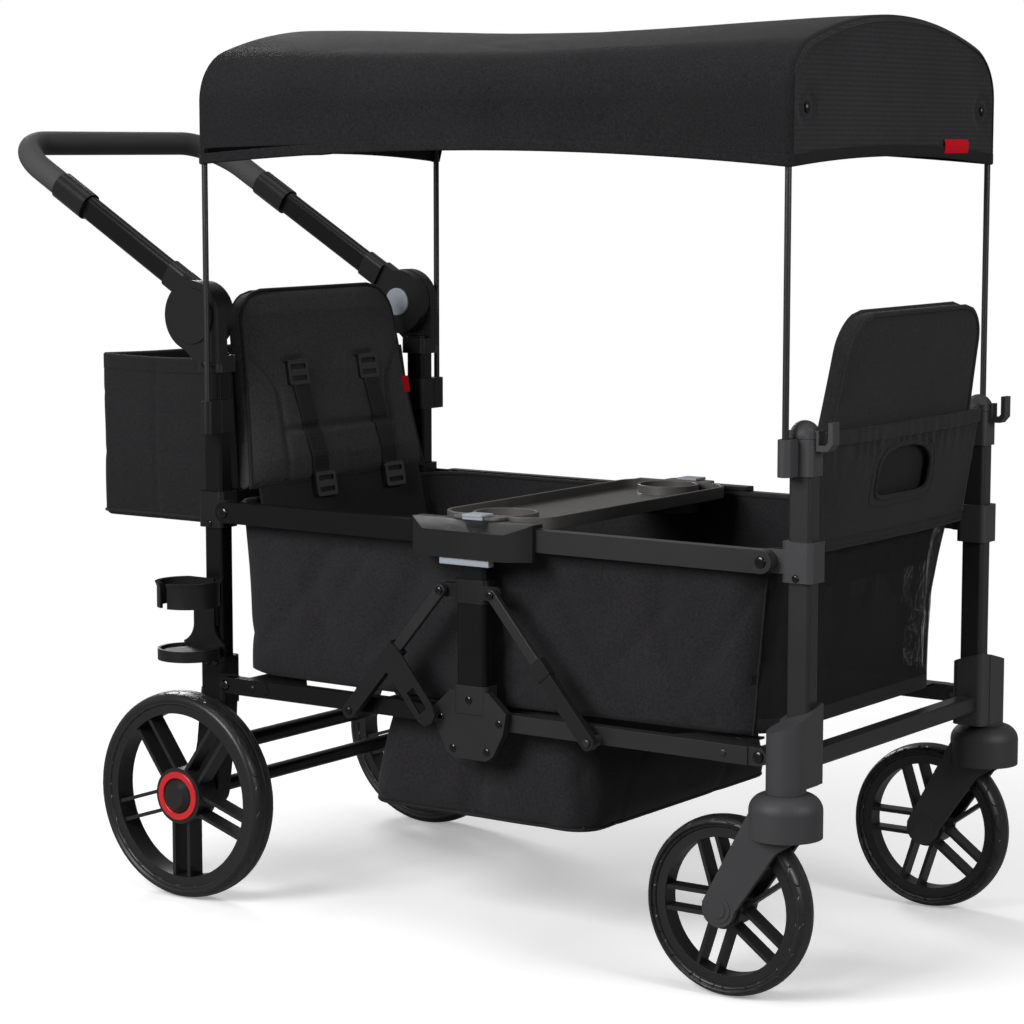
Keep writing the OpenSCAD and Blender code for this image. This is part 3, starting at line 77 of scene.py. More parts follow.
def feed(tree, value, socket):
    if hasattr(value, "node"):
        tree.links.new(value, socket)
    else:
        socket.default_value = value


def number(tree, operation, *terms):
    node = tree.nodes.new("ShaderNodeMath")
    node.operation = operation
    for i, term in enumerate(terms):
        feed(tree, term, node.inputs[i])
    return node.outputs[0]


def remap(tree, value, **ends):
    node = tree.nodes.new("ShaderNodeMapRange")
    for label, end in ends.items():
        feed(tree, end, node.inputs[label.replace("_", " ")])
    feed(tree, value, node.inputs["Value"])
    return node


def split(tree, vector):
    node = tree.nodes.new("ShaderNodeSeparateXYZ")
    tree.links.new(vector, node.inputs[0])
    return node.outputs


def speckle(tree, vector, scale, detail):
    node = tree.nodes.new("ShaderNodeTexNoise")
    for label, value in (("Vector", vector), ("Scale", scale), ("Detail", detail)):
        feed(tree, value, node.inputs[label])
    return node.outputs["Fac"]


def wave(tree, run, pitch):
    turns = number(tree, "DIVIDE", run, pitch)
    return number(tree, "SINE", number(tree, "MULTIPLY", turns, math.pi))


# Studio: a white paper floor that fades into a white backdrop, broad softboxes overhead, beside the
# camera and towards the caster end, and one behind the handle. The world is white to the camera only.
turn, drop = math.radians(35.193), math.radians(6.978)
camera_data = bpy.data.cameras.new("camera")
camera_data.lens = 104.54
camera_data.sensor_width = 36
camera = bpy.data.objects.new("camera", camera_data)
camera.location = (2.33845, -3.23863, 1.00514)
look = Vector((-math.sin(turn) * math.cos(drop), math.cos(turn) * math.cos(drop), -math.sin(drop)))
camera.rotation_euler = look.to_track_quat("-Z", "Y").to_euler()
scene.collection.objects.link(camera)
scene.camera = camera

world = bpy.data.worlds.new("studio")
scene.world = world
world.use_nodes = True
sky = world.node_tree
path = sky.nodes.new("ShaderNodeLightPath").outputs
seen = number(sky, "MAXIMUM", path["Is Camera Ray"], path["Is Transmission Ray"])
aim = split(sky, sky.nodes.new("ShaderNodeTexCoord").outputs["Generated"])
dim = remap(sky, aim["X"], From_Min=-1.0, From_Max=1.0, To_Min=0.26, To_Max=0.14)
level = remap(sky, seen, To_Min=dim.outputs["Result"], To_Max=1.0)
sky.nodes["Background"].inputs["Color"].default_value = (1, 1, 1, 1)
sky.links.new(level.outputs["Result"], sky.nodes["Background"].inputs["Strength"])


def softbox(name, place, aim, size, watts):
    data = bpy.data.lights.new(name, "AREA")
    data.shape = "SQUARE"
    data.size = size
    data.energy = watts
    lamp = bpy.data.objects.new(name, data)
    lamp.location = place
    lamp.rotation_euler = (Vector(aim) - Vector(place)).to_track_quat("-Z", "Y").to_euler()
    scene.collection.objects.link(lamp)


softbox("softbox_top", (0.3, -0.2, 3.0), (0.15, 0, 0.5), 2.0, 16)
softbox("softbox_side", (-0.35, -2.8, 1.9), (0.25, 0, 0.5), 1.5, 76)
softbox("softbox_front", (2.9, -0.4, 1.5), (0.4, 0, 0.6), 1.0, 30)
softbox("softbox_back", (-2.4, 1.6, 2.0), (0, 0, 0.7), 1.0, 42)


def into_scene(name, bm, smooth=True):
    mesh = bpy.data.meshes.new(name)
    for f in bm.faces:
        f.smooth = smooth
    bm.to_mesh(mesh)
    bm.free()
    obj = bpy.data.objects.new(name, mesh)
    scene.collection.objects.link(obj)
    return obj


floor_bm = bmesh.new()
bmesh.ops.create_circle(floor_bm, cap_ends=True, segments=96, radius=6)
floor = into_scene("floor", floor_bm, smooth=False)
paper, sheet_tree, sheet_base = blank("floor_paper", Emission_Color=(1, 1, 1, 1), Roughness=1.0,
                                      Specular_IOR_Level=0.0)
spot = sheet_tree.nodes.new("ShaderNodeTexCoord")
far = sheet_tree.nodes.new("ShaderNodeVectorMath")
far.operation = "LENGTH"
sheet_tree.links.new(spot.outputs["Object"], far.inputs[0])
fade = remap(sheet_tree, far.outputs["Value"], From_Min=0.75, From_Max=1.5, To_Min=1.0, To_Max=0.0)
sheet_tree.links.new(fade.outputs["Result"], sheet_base.inputs["Alpha"])
looked_at = sheet_tree.nodes.new("ShaderNodeLightPath").outputs["Is Camera Ray"]
white = remap(sheet_tree, looked_at, To_Min=0.35, To_Max=0.95)
sheet_tree.links.new(white.outputs["Result"], sheet_base.inputs["Base Color"])
glow = number(sheet_tree, "MULTIPLY", looked_at, 0.28)
sheet_tree.links.new(glow, sheet_base.inputs["Emission Strength"])
floor.data.materials.append(paper)

# Finishes: node groups for surface grain and colour drift, shared by every material, and the function
# that eases the edges of a CAD solid and dresses it.


def effect(name, inputs, outputs):
    tree = bpy.data.node_groups.new(name, "ShaderNodeTree")
    for label, kind, value in inputs:
        socket = tree.interface.new_socket(label, in_out="INPUT", socket_type="NodeSocket" + kind)
        if value is not None:
            socket.default_value = value
    for label, kind in outputs:
        tree.interface.new_socket(label, in_out="OUTPUT", socket_type="NodeSocket" + kind)
    return tree, tree.nodes.new("NodeGroupInput").outputs, tree.nodes.new("NodeGroupOutput").inputs


grain, g_in, g_out = effect(
    "surface_grain",
    [("Vector", "Vector", None), ("Scale", "Float", 900.0),
     ("Rough", "Float", 0.45), ("Spread", "Float", 0.1)],
    [("Roughness", "Float"), ("Height", "Float")],
)
pores = speckle(grain, g_in["Vector"], g_in["Scale"], detail=2.0)
smear = speckle(grain, g_in["Vector"], scale=14.0, detail=4.0)
swing = number(grain, "MULTIPLY", number(grain, "SUBTRACT", smear, 0.5), g_in["Spread"])
uneven = number(grain, "ADD", g_in["Rough"], number(grain, "MULTIPLY", swing, 2.0))
grain.links.new(uneven, g_out["Roughness"])
grain.links.new(pores, g_out["Height"])

drift, d_in, d_out = effect(
    "colour_drift",
    [("Vector", "Vector", None), ("Colour", "Color", (0.02, 0.02, 0.02, 1)),
     ("Scale", "Float", 6.0), ("Amount", "Float", 0.25)],
    [("Colour", "Color")],
)
cloud = speckle(drift, d_in["Vector"], d_in["Scale"], detail=5.0)
stray = number(drift, "SUBTRACT", cloud, 0.5)
tone = number(drift, "ADD", 1.0, number(drift, "MULTIPLY", stray, d_in["Amount"]))
tint = drift.nodes.new("ShaderNodeVectorMath")
tint.operation = "SCALE"
drift.links.new(d_in["Colour"], tint.inputs[0])
drift.links.new(tone, tint.inputs["Scale"])
drift.links.new(tint.outputs["Vector"], d_out["Colour"])


def place_effect(tree, group, **values):
    node = tree.nodes.new("ShaderNodeGroup")
    node.node_tree = group
    for label, value in values.items():
        feed(tree, value, node.inputs[label])
    return node.outputs


def relief(tree, shader, height, depth, strength=1.0, under=None):
    bump = tree.nodes.new("ShaderNodeBump")
    bump.inputs["Distance"].default_value = depth
    bump.inputs["Strength"].default_value = strength
    tree.links.new(height, bump.inputs["Height"])
    if under is not None:
        tree.links.new(under, bump.inputs["Normal"])
    tree.links.new(bump.outputs["Normal"], shader.inputs["Normal"])
    return bump.outputs["Normal"]


def hard_finish(name, colour, rough, spread, scale, depth, amount=0.25, **sockets):
    material, tree, shader = blank(name, **sockets)
    where = tree.nodes.new("ShaderNodeTexCoord").outputs["Object"]
    surface = place_effect(tree, grain, Vector=where, Scale=scale, Rough=rough, Spread=spread)
    paint = place_effect(tree, drift, Vector=where, Colour=(*colour, 1), Amount=amount)
    tree.links.new(paint["Colour"], shader.inputs["Base Color"])
    tree.links.new(surface["Roughness"], shader.inputs["Roughness"])
    relief(tree, shader, surface["Height"], depth)
    return material


body_of_node = {n: b for b, nodes in frame["record"]["behaviour"]["bodies"].items() for n in nodes}


def eased(node, width, material, sharp=35, segments=2):
    bm = bmesh.new()
    bm.from_mesh(frame["nodes"][node].data)
    bmesh.ops.remove_doubles(bm, verts=bm.verts[:], dist=3e-6)
    bmesh.ops.dissolve_limit(bm, angle_limit=math.radians(1.5), verts=bm.verts[:], edges=bm.edges[:])
    hard = [e for e in bm.edges if e.is_manifold and e.calc_face_angle(0) > math.radians(sharp)]
    bmesh.ops.bevel(bm, geom=hard, offset=width, offset_type="OFFSET", segments=segments, profile=0.5,
                    affect="EDGES", clamp_overlap=True, material=-1)
    piece = into_scene(node + "_eased", bm)
    weights = piece.modifiers.new("flat_faces", "WEIGHTED_NORMAL")
    weights.weight = 80
    dress(piece, material, body_of_node[node])
    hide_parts(node)
    return piece


# Posts, rails and cross tubes: extruded aluminium with a black powder coat, cut to length and pinned
# between the mouldings. The front half is satin with a fine grain; the rear half and the mid posts take a
# glossier copy of the coat whose darker colour is painted shade, for the light falling off towards the rear.
coat = hard_finish("black_powder_coat", (0.020, 0.0196, 0.021), rough=0.34, spread=0.08,
                   scale=1400, depth=0.00008, Specular_IOR_Level=0.44)
for tube in ("front_posts", "front_top_rails", "front_base_rails", "front_cross_rail"):
    eased(tube, 0.0012, coat)
# A copy of the coat darkened with painted shade, for the rear half, the mid posts and the handle bar.
coat_painted_shade = hard_finish("black_gloss_coat_painted_shade", (0.005, 0.005, 0.0055), rough=0.26, spread=0.04,
                         scale=1400, depth=0.00001, Specular_IOR_Level=0.30)
for tube in ("rear_posts", "mid_posts", "rear_top_rails", "rear_base_rails", "rear_cross_tubes"):
    eased(tube, 0.0012, coat_painted_shade)

# Mouldings: glass-filled nylon brackets, hubs, clips and latch bodies that clamp the tubes and carry
# the hinge pins. The front ones are matt and lighter; the rear ones, the mid collars and the strut sleeves
# take a copy darkened with painted shade for the light falling off towards the rear; the hubs are smoothest.
nylon = hard_finish("matt_nylon", (0.044, 0.043, 0.046), rough=0.52, spread=0.10,
                    scale=2200, depth=0.00012, Specular_IOR_Level=0.4)
# A darker copy of the nylon: painted shade for the rear and mid mouldings and the strut sleeves.
nylon_painted_shade = hard_finish("nylon_painted_shade", (0.009, 0.009, 0.0098), rough=0.40, spread=0.10,
                         scale=2200, depth=0.0001, Specular_IOR_Level=0.32)
for moulding in ("rear_brackets", "mid_collars", "rear_strut_sleeves", "front_strut_sleeves"):
    eased(moulding, 0.0016, nylon_painted_shade)
for moulding, ease in (("rear_rod_clips", 0.004), ("cup_holder", 0.0018)):
    eased(moulding, ease, nylon_painted_shade, segments=3)
bracket_nylon = hard_finish("bracket_nylon", (0.018, 0.018, 0.019), rough=0.44, spread=0.10,
                            scale=2200, depth=0.0001, Specular_IOR_Level=0.36)
eased("mid_brackets", 0.003, bracket_nylon, segments=3)
latch_nylon = hard_finish("latch_nylon", (0.012, 0.012, 0.0125), rough=0.38, spread=0.10,
                          scale=2200, depth=0.0001, Specular_IOR_Level=0.28)
eased("latch_bodies", 0.006, latch_nylon, segments=3)
for moulding, ease in (("front_brackets", 0.0032), ("front_caps", 0.0022), ("front_rod_clips", 0.004)):
    eased(moulding, ease, nylon, segments=3)
hub_nylon = hard_finish("polished_nylon", (0.013, 0.013, 0.014), rough=0.30, spread=0.08,
                        scale=2200, depth=0.00006, Specular_IOR_Level=0.34)
eased("handle_hubs", 0.0042, hub_nylon, segments=4)
for rod in ("rear_strut_rods", "front_strut_rods"):
    eased(rod, 0.001, coat)

# Fasteners: black zinc dome screws and hinge pins, turned and polished by use.
zinc = hard_finish("black_zinc", (0.05, 0.05, 0.053), rough=0.18, spread=0.06,
                   scale=1800, depth=0.00003, Metallic=1.0)
for screws in ("rear_fasteners", "mid_fasteners", "front_fasteners"):
    eased(screws, 0.0006, zinc)

# Rear wheels: a soft tyre on a moulded rim with five double spokes, and a red ring round the hub cap.
# The tyre is turned from its section; low oval lugs run along both shoulders of the tread.
lugs, l_in, l_out = effect(
    "tread_lugs",
    [("Vector", "Vector", None), ("Pitch", "Float", 0.036), ("Shoulder", "Float", 0.012)],
    [("Height", "Float")],
)
parts = split(lugs, l_in["Vector"])
lug_half_width, lug_length_share = 0.0055, 2.7
count = number(lugs, "DIVIDE", parts["X"], l_in["Pitch"])
along = number(lugs, "SUBTRACT", number(lugs, "FRACT", count), 0.5)
off = number(lugs, "SUBTRACT", number(lugs, "ABSOLUTE", parts["Y"]), l_in["Shoulder"])
across = number(lugs, "POWER", number(lugs, "DIVIDE", off, lug_half_width), 2.0)
ahead = number(lugs, "POWER", number(lugs, "MULTIPLY", along, lug_length_share), 2.0)
oval = number(lugs, "ADD", ahead, across)
edge = remap(lugs, oval, From_Min=0.7, From_Max=1.1, To_Min=1.0, To_Max=0.0)
edge.interpolation_type = "SMOOTHSTEP"
lugs.links.new(edge.outputs["Result"], l_out["Height"])

rubber, r_tree, r_shader = blank("tyre_rubber", Specular_IOR_Level=0.4)
r_place = r_tree.nodes.new("ShaderNodeTexCoord")
r_where, r_colour = r_place.outputs["Object"], (0.019, 0.019, 0.019, 1)
r_paint = place_effect(r_tree, drift, Vector=r_where, Colour=r_colour, Scale=25.0, Amount=0.4)
r_surface = place_effect(r_tree, grain, Vector=r_where, Scale=900.0, Rough=0.34, Spread=0.12)
r_tree.links.new(r_paint["Colour"], r_shader.inputs["Base Color"])
r_tree.links.new(r_surface["Roughness"], r_shader.inputs["Roughness"])
r_lugs = place_effect(r_tree, lugs, Vector=r_place.outputs["UV"])
r_fine = relief(r_tree, r_shader, r_surface["Height"], 0.0001)
relief(r_tree, r_shader, r_lugs["Height"], 0.0012, under=r_fine)


def turned_ring(name, centre, profile, steps=112):
    bm = bmesh.new()
    ring = [bm.verts.new((r, y, 0)) for r, y in profile]
    joins = [bm.edges.new((ring[i - 1], ring[i])) for i in range(len(ring))]
    bmesh.ops.spin(bm, geom=ring + joins, cent=(0, 0, 0), axis=(0, 1, 0), dvec=(0, 0, 0),
                   angle=2 * math.pi, steps=steps, use_merge=True)
    bmesh.ops.remove_doubles(bm, verts=bm.verts[:], dist=1e-6)
    bmesh.ops.recalc_face_normals(bm, faces=bm.faces[:])
    around = bm.loops.layers.uv.new("UVMap")
    reach = max(r for r, y in profile)
    for f in bm.faces:
        middle = math.atan2(f.calc_center_median().z, f.calc_center_median().x)
        for loop in f.loops:
            a = math.atan2(loop.vert.co.z, loop.vert.co.x)
            a += 2 * math.pi * round((middle - a) / (2 * math.pi))
            loop[around].uv = (a * reach, loop.vert.co.y)
    bmesh.ops.translate(bm, vec=centre, verts=bm.verts[:])
    return into_scene(name, bm)


def tyre_section(reach, width, wall):
    half, bead = width / 2, reach - wall
    right = [
        (bead, half - 0.005), (bead + 0.0015, half - 0.0035), (bead + 0.004, half - 0.0025),
        (bead + 0.0046, half - 0.0032), (bead + 0.0052, half - 0.0012), (reach - 0.0095, half),
        (reach - 0.0065, half - 0.0008), (reach - 0.0040, half - 0.0030), (reach - 0.0021, half - 0.0062),
        (reach - 0.0010, half - 0.0105), (reach - 0.0003, half - 0.0150),
        (reach, 0.0016), (reach - 0.0008, 0.0006),
    ]
    return right + [(r, -y) for r, y in reversed(right)]


rear_wall, front_wall = 0.017, 0.014
for tyre, wall in (("rear_tyre_right", rear_wall), ("rear_tyre_left", rear_wall),
                   ("front_tyre_right", front_wall), ("front_tyre_left", front_wall)):
    low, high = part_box(tyre)
    section = tyre_section((high.z - low.z) / 2, high.y - low.y, wall)
    piece = turned_ring(tyre + "_turned", (low + high) / 2, section)
    dress(piece, rubber, body_of_node[tyre])
    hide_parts(tyre)

rim_plastic = hard_finish("rim_plastic", (0.014, 0.014, 0.015), rough=0.34, spread=0.08,
                          scale=1600, depth=0.00006, Specular_IOR_Level=0.45)
for rim in ("rear_rim_right", "rear_rim_left", "front_rim_right", "front_rim_left"):
    eased(rim, 0.0013, rim_plastic)
red_gloss = hard_finish("red_gloss", (0.62, 0.012, 0.018), rough=0.22, spread=0.05,
                        scale=1600, depth=0.00003, amount=0.1, Coat_Weight=0.4)
for ring in ("rear_ring_right", "rear_ring_left"):
    eased(ring, 0.0012, red_gloss)
for fork in ("caster_fork_right", "caster_fork_left"):
    eased(fork, 0.003, nylon, segments=3)

# Push handle: flat oval tube bent into a loop, with a closed-cell foam grip, end sleeves and the
# hub knuckles; round grey buttons in the hubs release it.
# The bar takes the coat copy darkened with painted shade.
eased("handle_bar", 0.001, coat_painted_shade)
eased("handle_fittings", 0.003, hub_nylon, segments=3)
foam = hard_finish("grip_foam", (0.066, 0.066, 0.067), rough=0.78, spread=0.08,
                   scale=520, depth=0.0004, Specular_IOR_Level=0.25)
eased("handle_grip", 0.003, foam)
grey_touch = hard_finish("grey_touch", (0.36, 0.39, 0.44), rough=0.42, spread=0.06,
                         scale=1800, depth=0.00006, amount=0.08)
for button in ("hub_button_right", "hub_button_left", "latch_button_right", "latch_button_left",
               "tray_tab_right", "tray_tab_left"):
    eased(button, 0.0012, grey_touch)


# Tub: one sewn cloth shell of coated polyester that hangs inside the rails. Its floor opens into a
# footwell with padded panels; the wall at the caster end is open mesh. Folds run down from the rails.


def cloth_grid(name, nu, nv, size, place, lay=None):
    bm = bmesh.new()
    bmesh.ops.create_grid(bm, x_segments=nu, y_segments=nv, size=0.5)
    share = {v: (v.co.x + 0.5, v.co.y + 0.5) for v in bm.verts}
    laid = bm.loops.layers.uv.new("UVMap")
    for f in bm.faces:
        for loop in f.loops:
            u, v = share[loop.vert]
            loop[laid].uv = (u * size[0], v * size[1])
    for vert, (u, v) in share.items():
        vert.co = place(u, v)
    if lay:
        for f in bm.faces:
            for loop in f.loops:
                loop[laid].uv = lay(loop.vert.co)
    bmesh.ops.remove_doubles(bm, verts=bm.verts[:], dist=1e-5)
    bmesh.ops.recalc_face_normals(bm, faces=bm.faces[:])
    return into_scene(name, bm)


def thicken(piece, thickness, offset=-1.0):
    wall = piece.modifiers.new("thickness", "SOLIDIFY")
    wall.thickness = thickness
    wall.offset = offset


def piping(name, points, radius, material, body, closed=False):
    curve = bpy.data.curves.new(name, "CURVE")
    curve.dimensions = "3D"
    curve.bevel_depth = radius
    curve.bevel_resolution = 3
    curve.use_fill_caps = True
    line = curve.splines.new("POLY")
    line.points.add(len(points) - 1)
    for knot, point in zip(line.points, points):
        knot.co = (*point, 1)
    line.use_cyclic_u = closed
    carrier = bpy.data.objects.new(name + "_line", curve)
    scene.collection.objects.link(carrier)
    mesh = bpy.data.meshes.new_from_object(carrier.evaluated_get(bpy.context.evaluated_depsgraph_get()))
    bpy.data.objects.remove(carrier)
    mesh.name = name
    mesh.polygons.foreach_set("use_smooth", [True] * len(mesh.polygons))
    mesh.materials.clear()
    mesh.materials.append(material)
    piece = bpy.data.objects.new(name, mesh)
    scene.collection.objects.link(piece)
    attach(piece, body)
    return piece


def loop_point(s, hx, hy, r):
    runs = [2 * (hx - r), math.pi / 2 * r, 2 * (hy - r), math.pi / 2 * r] * 2
    d = (s % 1.0) * sum(runs)
    k = 0
    while k < 7 and d > runs[k]:
        d -= runs[k]
        k += 1
    f = d / runs[k]
    if k % 2 == 0:
        n = [(0, -1), (1, 0), (0, 1), (-1, 0)][k // 2]
        a = [(-hx + r + 2 * (hx - r) * f, -hy), (hx, -hy + r + 2 * (hy - r) * f),
             (hx - r - 2 * (hx - r) * f, hy), (-hx, hy - r - 2 * (hy - r) * f)][k // 2]
        return a[0], a[1], n[0], n[1]
    cx, cy = [(hx - r, -hy + r), (hx - r, hy - r), (-hx + r, hy - r), (-hx + r, -hy + r)][k // 2]
    b = math.radians(-90 + 90 * (k // 2) + 90 * f)
    return cx + r * math.cos(b), cy + r * math.sin(b), math.cos(b), math.sin(b)


def crease(x, y, z, width=0.18):
    return max(0.0, 1.0 - abs(noise.noise(Vector((x, y, z)))) / width) ** 2


def bulge(a, power=4):
    return max(0.0, 1.0 - abs(a) ** power)


rear_low, rear_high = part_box("rear_posts")
front_low, front_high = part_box("front_posts")
rear_x, front_x = (rear_low.x + rear_high.x) / 2, (front_low.x + front_high.x) / 2
mid_x = (rear_x + front_x) / 2
tub_low, tub_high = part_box("tub")
floor_z, rim_z, well_z = 0.308, tub_high.z, tub_low.z
rim_half, floor_half, tub_corner = tub_high.y, 0.228, 0.064
tub_half_len, tub_flare, tub_shift = 0.415, 0.010, 0.009
well_x = mid_x - 0.025


def tub_wall(s, t):
    hx = tub_half_len + tub_flare * t
    hy = floor_half + (rim_half - floor_half) * t ** 0.7
    x, y, nx, ny = loop_point(s, hx, hy, tub_corner)
    z = floor_z + (rim_z - floor_z) * t
    hang = math.sin(math.pi * t)
    slack = 0.006 * hang * abs(ny) + (0.001 if nx < 0 else 0.007) * hang * abs(nx)
    long_folds = 0.009 * crease(x * 6 + z * 3, y * 3, z * 2.2)
    short_folds = 0.0065 * crease(x * 11 - z * 8, y * 9 + 4, z * 3)
    folds = (long_folds + short_folds) * hang * (0.4 + 0.6 * abs(ny))
    gather = 0.0025 * t ** 3 * math.sin(95 * (x + y)) * abs(nx)
    back = slack + folds + gather
    return Vector((mid_x - tub_shift * (1 - t) + x - nx * back, y - ny * back, z))


def well_half(t):
    return 0.171 - 0.026 * t, 0.225 - 0.018 * t


def well_wall(s, t):
    swell = math.sin(math.pi * t ** 0.6)
    hx, hy = (half + 0.003 * swell for half in well_half(t))
    x, y, nx, ny = loop_point(s, hx, hy, 0.034)
    z = well_z + (floor_z - well_z) * t
    up = 2 * t - 1
    if abs(ny) > 0.7:
        half = (hx - 0.018) / 2
        across = (abs(x) - 0.012 - half) / half
        out = 0.011 * bulge(across, 6) * bulge(up, 6) if abs(across) < 1 else 0.0
    else:
        out = 0.010 * bulge(y / hy, 6) * bulge(up, 6)
    out -= 0.002 * crease(x * 9, y * 9, z * 6)
    return Vector((well_x + x + nx * out, y + ny * out, z))


wall_end, floor_end, well_end = 0.40, 0.54, 0.86


def tub_place(u, v):
    if v <= wall_end:
        return tub_wall(u, 1 - v / wall_end)
    if v <= floor_end:
        f = (v - wall_end) / (floor_end - wall_end)
        dip = Vector((0, 0, 0.004 * math.sin(math.pi * f)))
        return tub_wall(u, 0).lerp(well_wall(u, 1), f) - dip
    if v <= well_end:
        return well_wall(u, 1 - (v - floor_end) / (well_end - floor_end))
    f = (v - well_end) / (1 - well_end)
    dip = Vector((0, 0, 0.003 * math.sin(math.pi * min(1, 2 * f))))
    return well_wall(u, 0).lerp(Vector((well_x, 0, well_z)), f) - dip


weave, w_in, w_out = effect(
    "plain_weave",
    [("Vector", "Vector", None), ("Pitch", "Float", 0.0009), ("Ribs", "Float", 0.0)],
    [("Height", "Float"), ("Shade", "Float")],
)
threads = split(weave, w_in["Vector"])
warp = wave(weave, threads["X"], w_in["Pitch"])
weft = wave(weave, threads["Y"], w_in["Pitch"])
plain = number(weave, "MULTIPLY", warp, number(weave, "SUBTRACT", 1.0, w_in["Ribs"]))
over = number(weave, "MULTIPLY", number(weave, "ADD", plain, w_in["Ribs"]), weft)
weave.links.new(number(weave, "ADD", 0.5, number(weave, "MULTIPLY", over, 0.5)), w_out["Height"])
weave.links.new(number(weave, "ADD", 0.9, number(weave, "MULTIPLY", over, 0.1)), w_out["Shade"])

net, n_in, n_out = effect(
    "open_mesh",
    [("Vector", "Vector", None), ("Pitch", "Float", 0.0026)],
    [("Thread", "Float"), ("Height", "Float")],
)
cells = split(net, n_in["Vector"])
rise = number(net, "ADD", cells["X"], cells["Y"])
fall = number(net, "SUBTRACT", cells["X"], cells["Y"])
one = number(net, "ABSOLUTE", wave(net, rise, n_in["Pitch"]))
two = number(net, "ABSOLUTE", wave(net, fall, n_in["Pitch"]))
gap = number(net, "MINIMUM", one, two)
thread_share = 0.62
net.links.new(number(net, "LESS_THAN", gap, thread_share), n_out["Thread"])
net.links.new(number(net, "SUBTRACT", 1.0, gap), n_out["Height"])


def cloth_finish(name, colour, pitch, depth, rough=0.85, sheen=0.06, ribs=0.0, amount=0.5,
                 specular=0.25, heather=1.7, by="UV"):
    material, tree, shader = blank(name, Specular_IOR_Level=specular, Sheen_Weight=sheen, Sheen_Roughness=0.5)
    place = tree.nodes.new("ShaderNodeTexCoord")
    knit = place_effect(tree, weave, Vector=place.outputs[by], Pitch=pitch, Ribs=ribs)
    where = place.outputs["Object"]
    paint = place_effect(tree, drift, Vector=where, Colour=(*colour, 1), Scale=9.0, Amount=amount)
    shade = tree.nodes.new("ShaderNodeVectorMath")
    shade.operation = "SCALE"
    yarn = place_effect(tree, drift, Vector=where, Colour=paint["Colour"], Scale=340.0, Amount=heather)
    tree.links.new(yarn["Colour"], shade.inputs[0])
    tree.links.new(knit["Shade"], shade.inputs["Scale"])
    tree.links.new(shade.outputs["Vector"], shader.inputs["Base Color"])
    surface = place_effect(tree, grain, Vector=where, Scale=1500.0, Rough=rough, Spread=0.1)
    tree.links.new(surface["Roughness"], shader.inputs["Roughness"])
    relief(tree, shader, knit["Height"], depth)
    return material


tub_cloth = cloth_finish("tub_polyester", (0.0190, 0.0174, 0.0198), pitch=0.0011, depth=0.00022)
binding_cloth = cloth_finish("binding_tape", (0.0150, 0.0140, 0.0155), pitch=0.0016, depth=0.0003,
                             rough=0.75, by="Object")
mesh_net, m_tree, m_shader = blank("tub_mesh", Base_Color=(0.014, 0.0135, 0.0142, 1), Roughness=0.7,
                                   Specular_IOR_Level=0.25)
m_holes = place_effect(m_tree, net, Vector=m_tree.nodes.new("ShaderNodeTexCoord").outputs["UV"])
m_tree.links.new(m_holes["Thread"], m_shader.inputs["Alpha"])
relief(m_tree, m_shader, m_holes["Height"], 0.0004)


def folds_up(piece):
    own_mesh(piece)


tub = cloth_grid("tub_cloth", 232, 96, (2.36, 1.05), tub_place)
tub.data.materials.append(tub_cloth)
tub.data.materials.append(mesh_net)
mesh_far, mesh_near, mesh_side = mid_x + 0.345, mid_x + 0.37, -0.214
mesh_low, mesh_high = floor_z + 0.02, rim_z - 0.012
for face in tub.data.polygons:
    c = face.center
    begins = mesh_far if c.y > 0 else mesh_near
    if c.x > begins and c.y > mesh_side and mesh_low < c.z < mesh_high:
        face.material_index = 1
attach(tub, "rear_frame")
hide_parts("tub")
thicken(tub, 0.0018)
folds_up(tub)


def tub_piping(name, line, radius, closed=False):
    cord = piping(name, line, radius, binding_cloth, "rear_frame", closed)
    folds_up(cord)


tub_piping("tub_rim_binding", [tub_wall(i / 160, 1.0) for i in range(160)], 0.0035, closed=True)
turns = [(loop_point(j / 2000, 0.42, rim_half, tub_corner), j / 2000) for j in range(2000)]
for label, way in (("right", -1), ("left", 1)):
    at = max(turns, key=lambda q: q[0][0] + 0.9 * way * q[0][1])[1]
    tub_piping(f"tub_front_seam_{label}", [tub_wall(at, i / 24) for i in range(25)], 0.0016)
tub_piping("footwell_bottom_piping", [well_wall(i / 160, 0.0) for i in range(160)], 0.0026, closed=True)
for k, (sx, sy) in enumerate(((-1, -1), (1, -1), (1, 1), (-1, 1))):
    seam = []
    for i in range(13):
        t = i / 12
        hx, hy = well_half(t)
        z = well_z + (floor_z - well_z) * t
        seam.append(Vector((well_x + sx * (hx - 0.010), sy * (hy - 0.009), z)))
    tub_piping(f"footwell_corner_piping_{k}", seam, 0.0028)

# Seat floor boards: hardboard covered in the tub's cloth, one for each child, laid in the tub.
board_cloth = cloth_finish("board_polyester", (0.0150, 0.0140, 0.0155), pitch=0.0011, depth=0.00022,
                           by="Object")
for board in ("rear_floor", "front_floor"):
    eased(board, 0.002, board_cloth)

# Seat backs: foam pads in polyester covers, piped round both edges, that lean on the posts. Sewn channels
# set off the side bolsters; the rear one has two harness slots, and its cover is a lighter copy of the seat
# cloth, painted light against the shade under the canopy.
pad_cloth = cloth_finish("seat_polyester", (0.0165, 0.0152, 0.0172), pitch=0.0010, depth=0.00022,
                         sheen=0.08)
# A lighter copy of the seat cloth: painted light against the shade under the canopy, for the rear pad.
rear_cloth_painted_light = cloth_finish("rear_seat_polyester_painted_light", (0.049, 0.0460, 0.0482), pitch=0.0010, depth=0.00022,
                          sheen=0.08)
seat_foot, seat_top, lean = 0.548, 0.809, math.radians(9.5)
pad_len = (seat_top - seat_foot) / math.cos(lean)
pad_foot_half, pad_taper, pad_round = 0.193, 0.028, 0.046


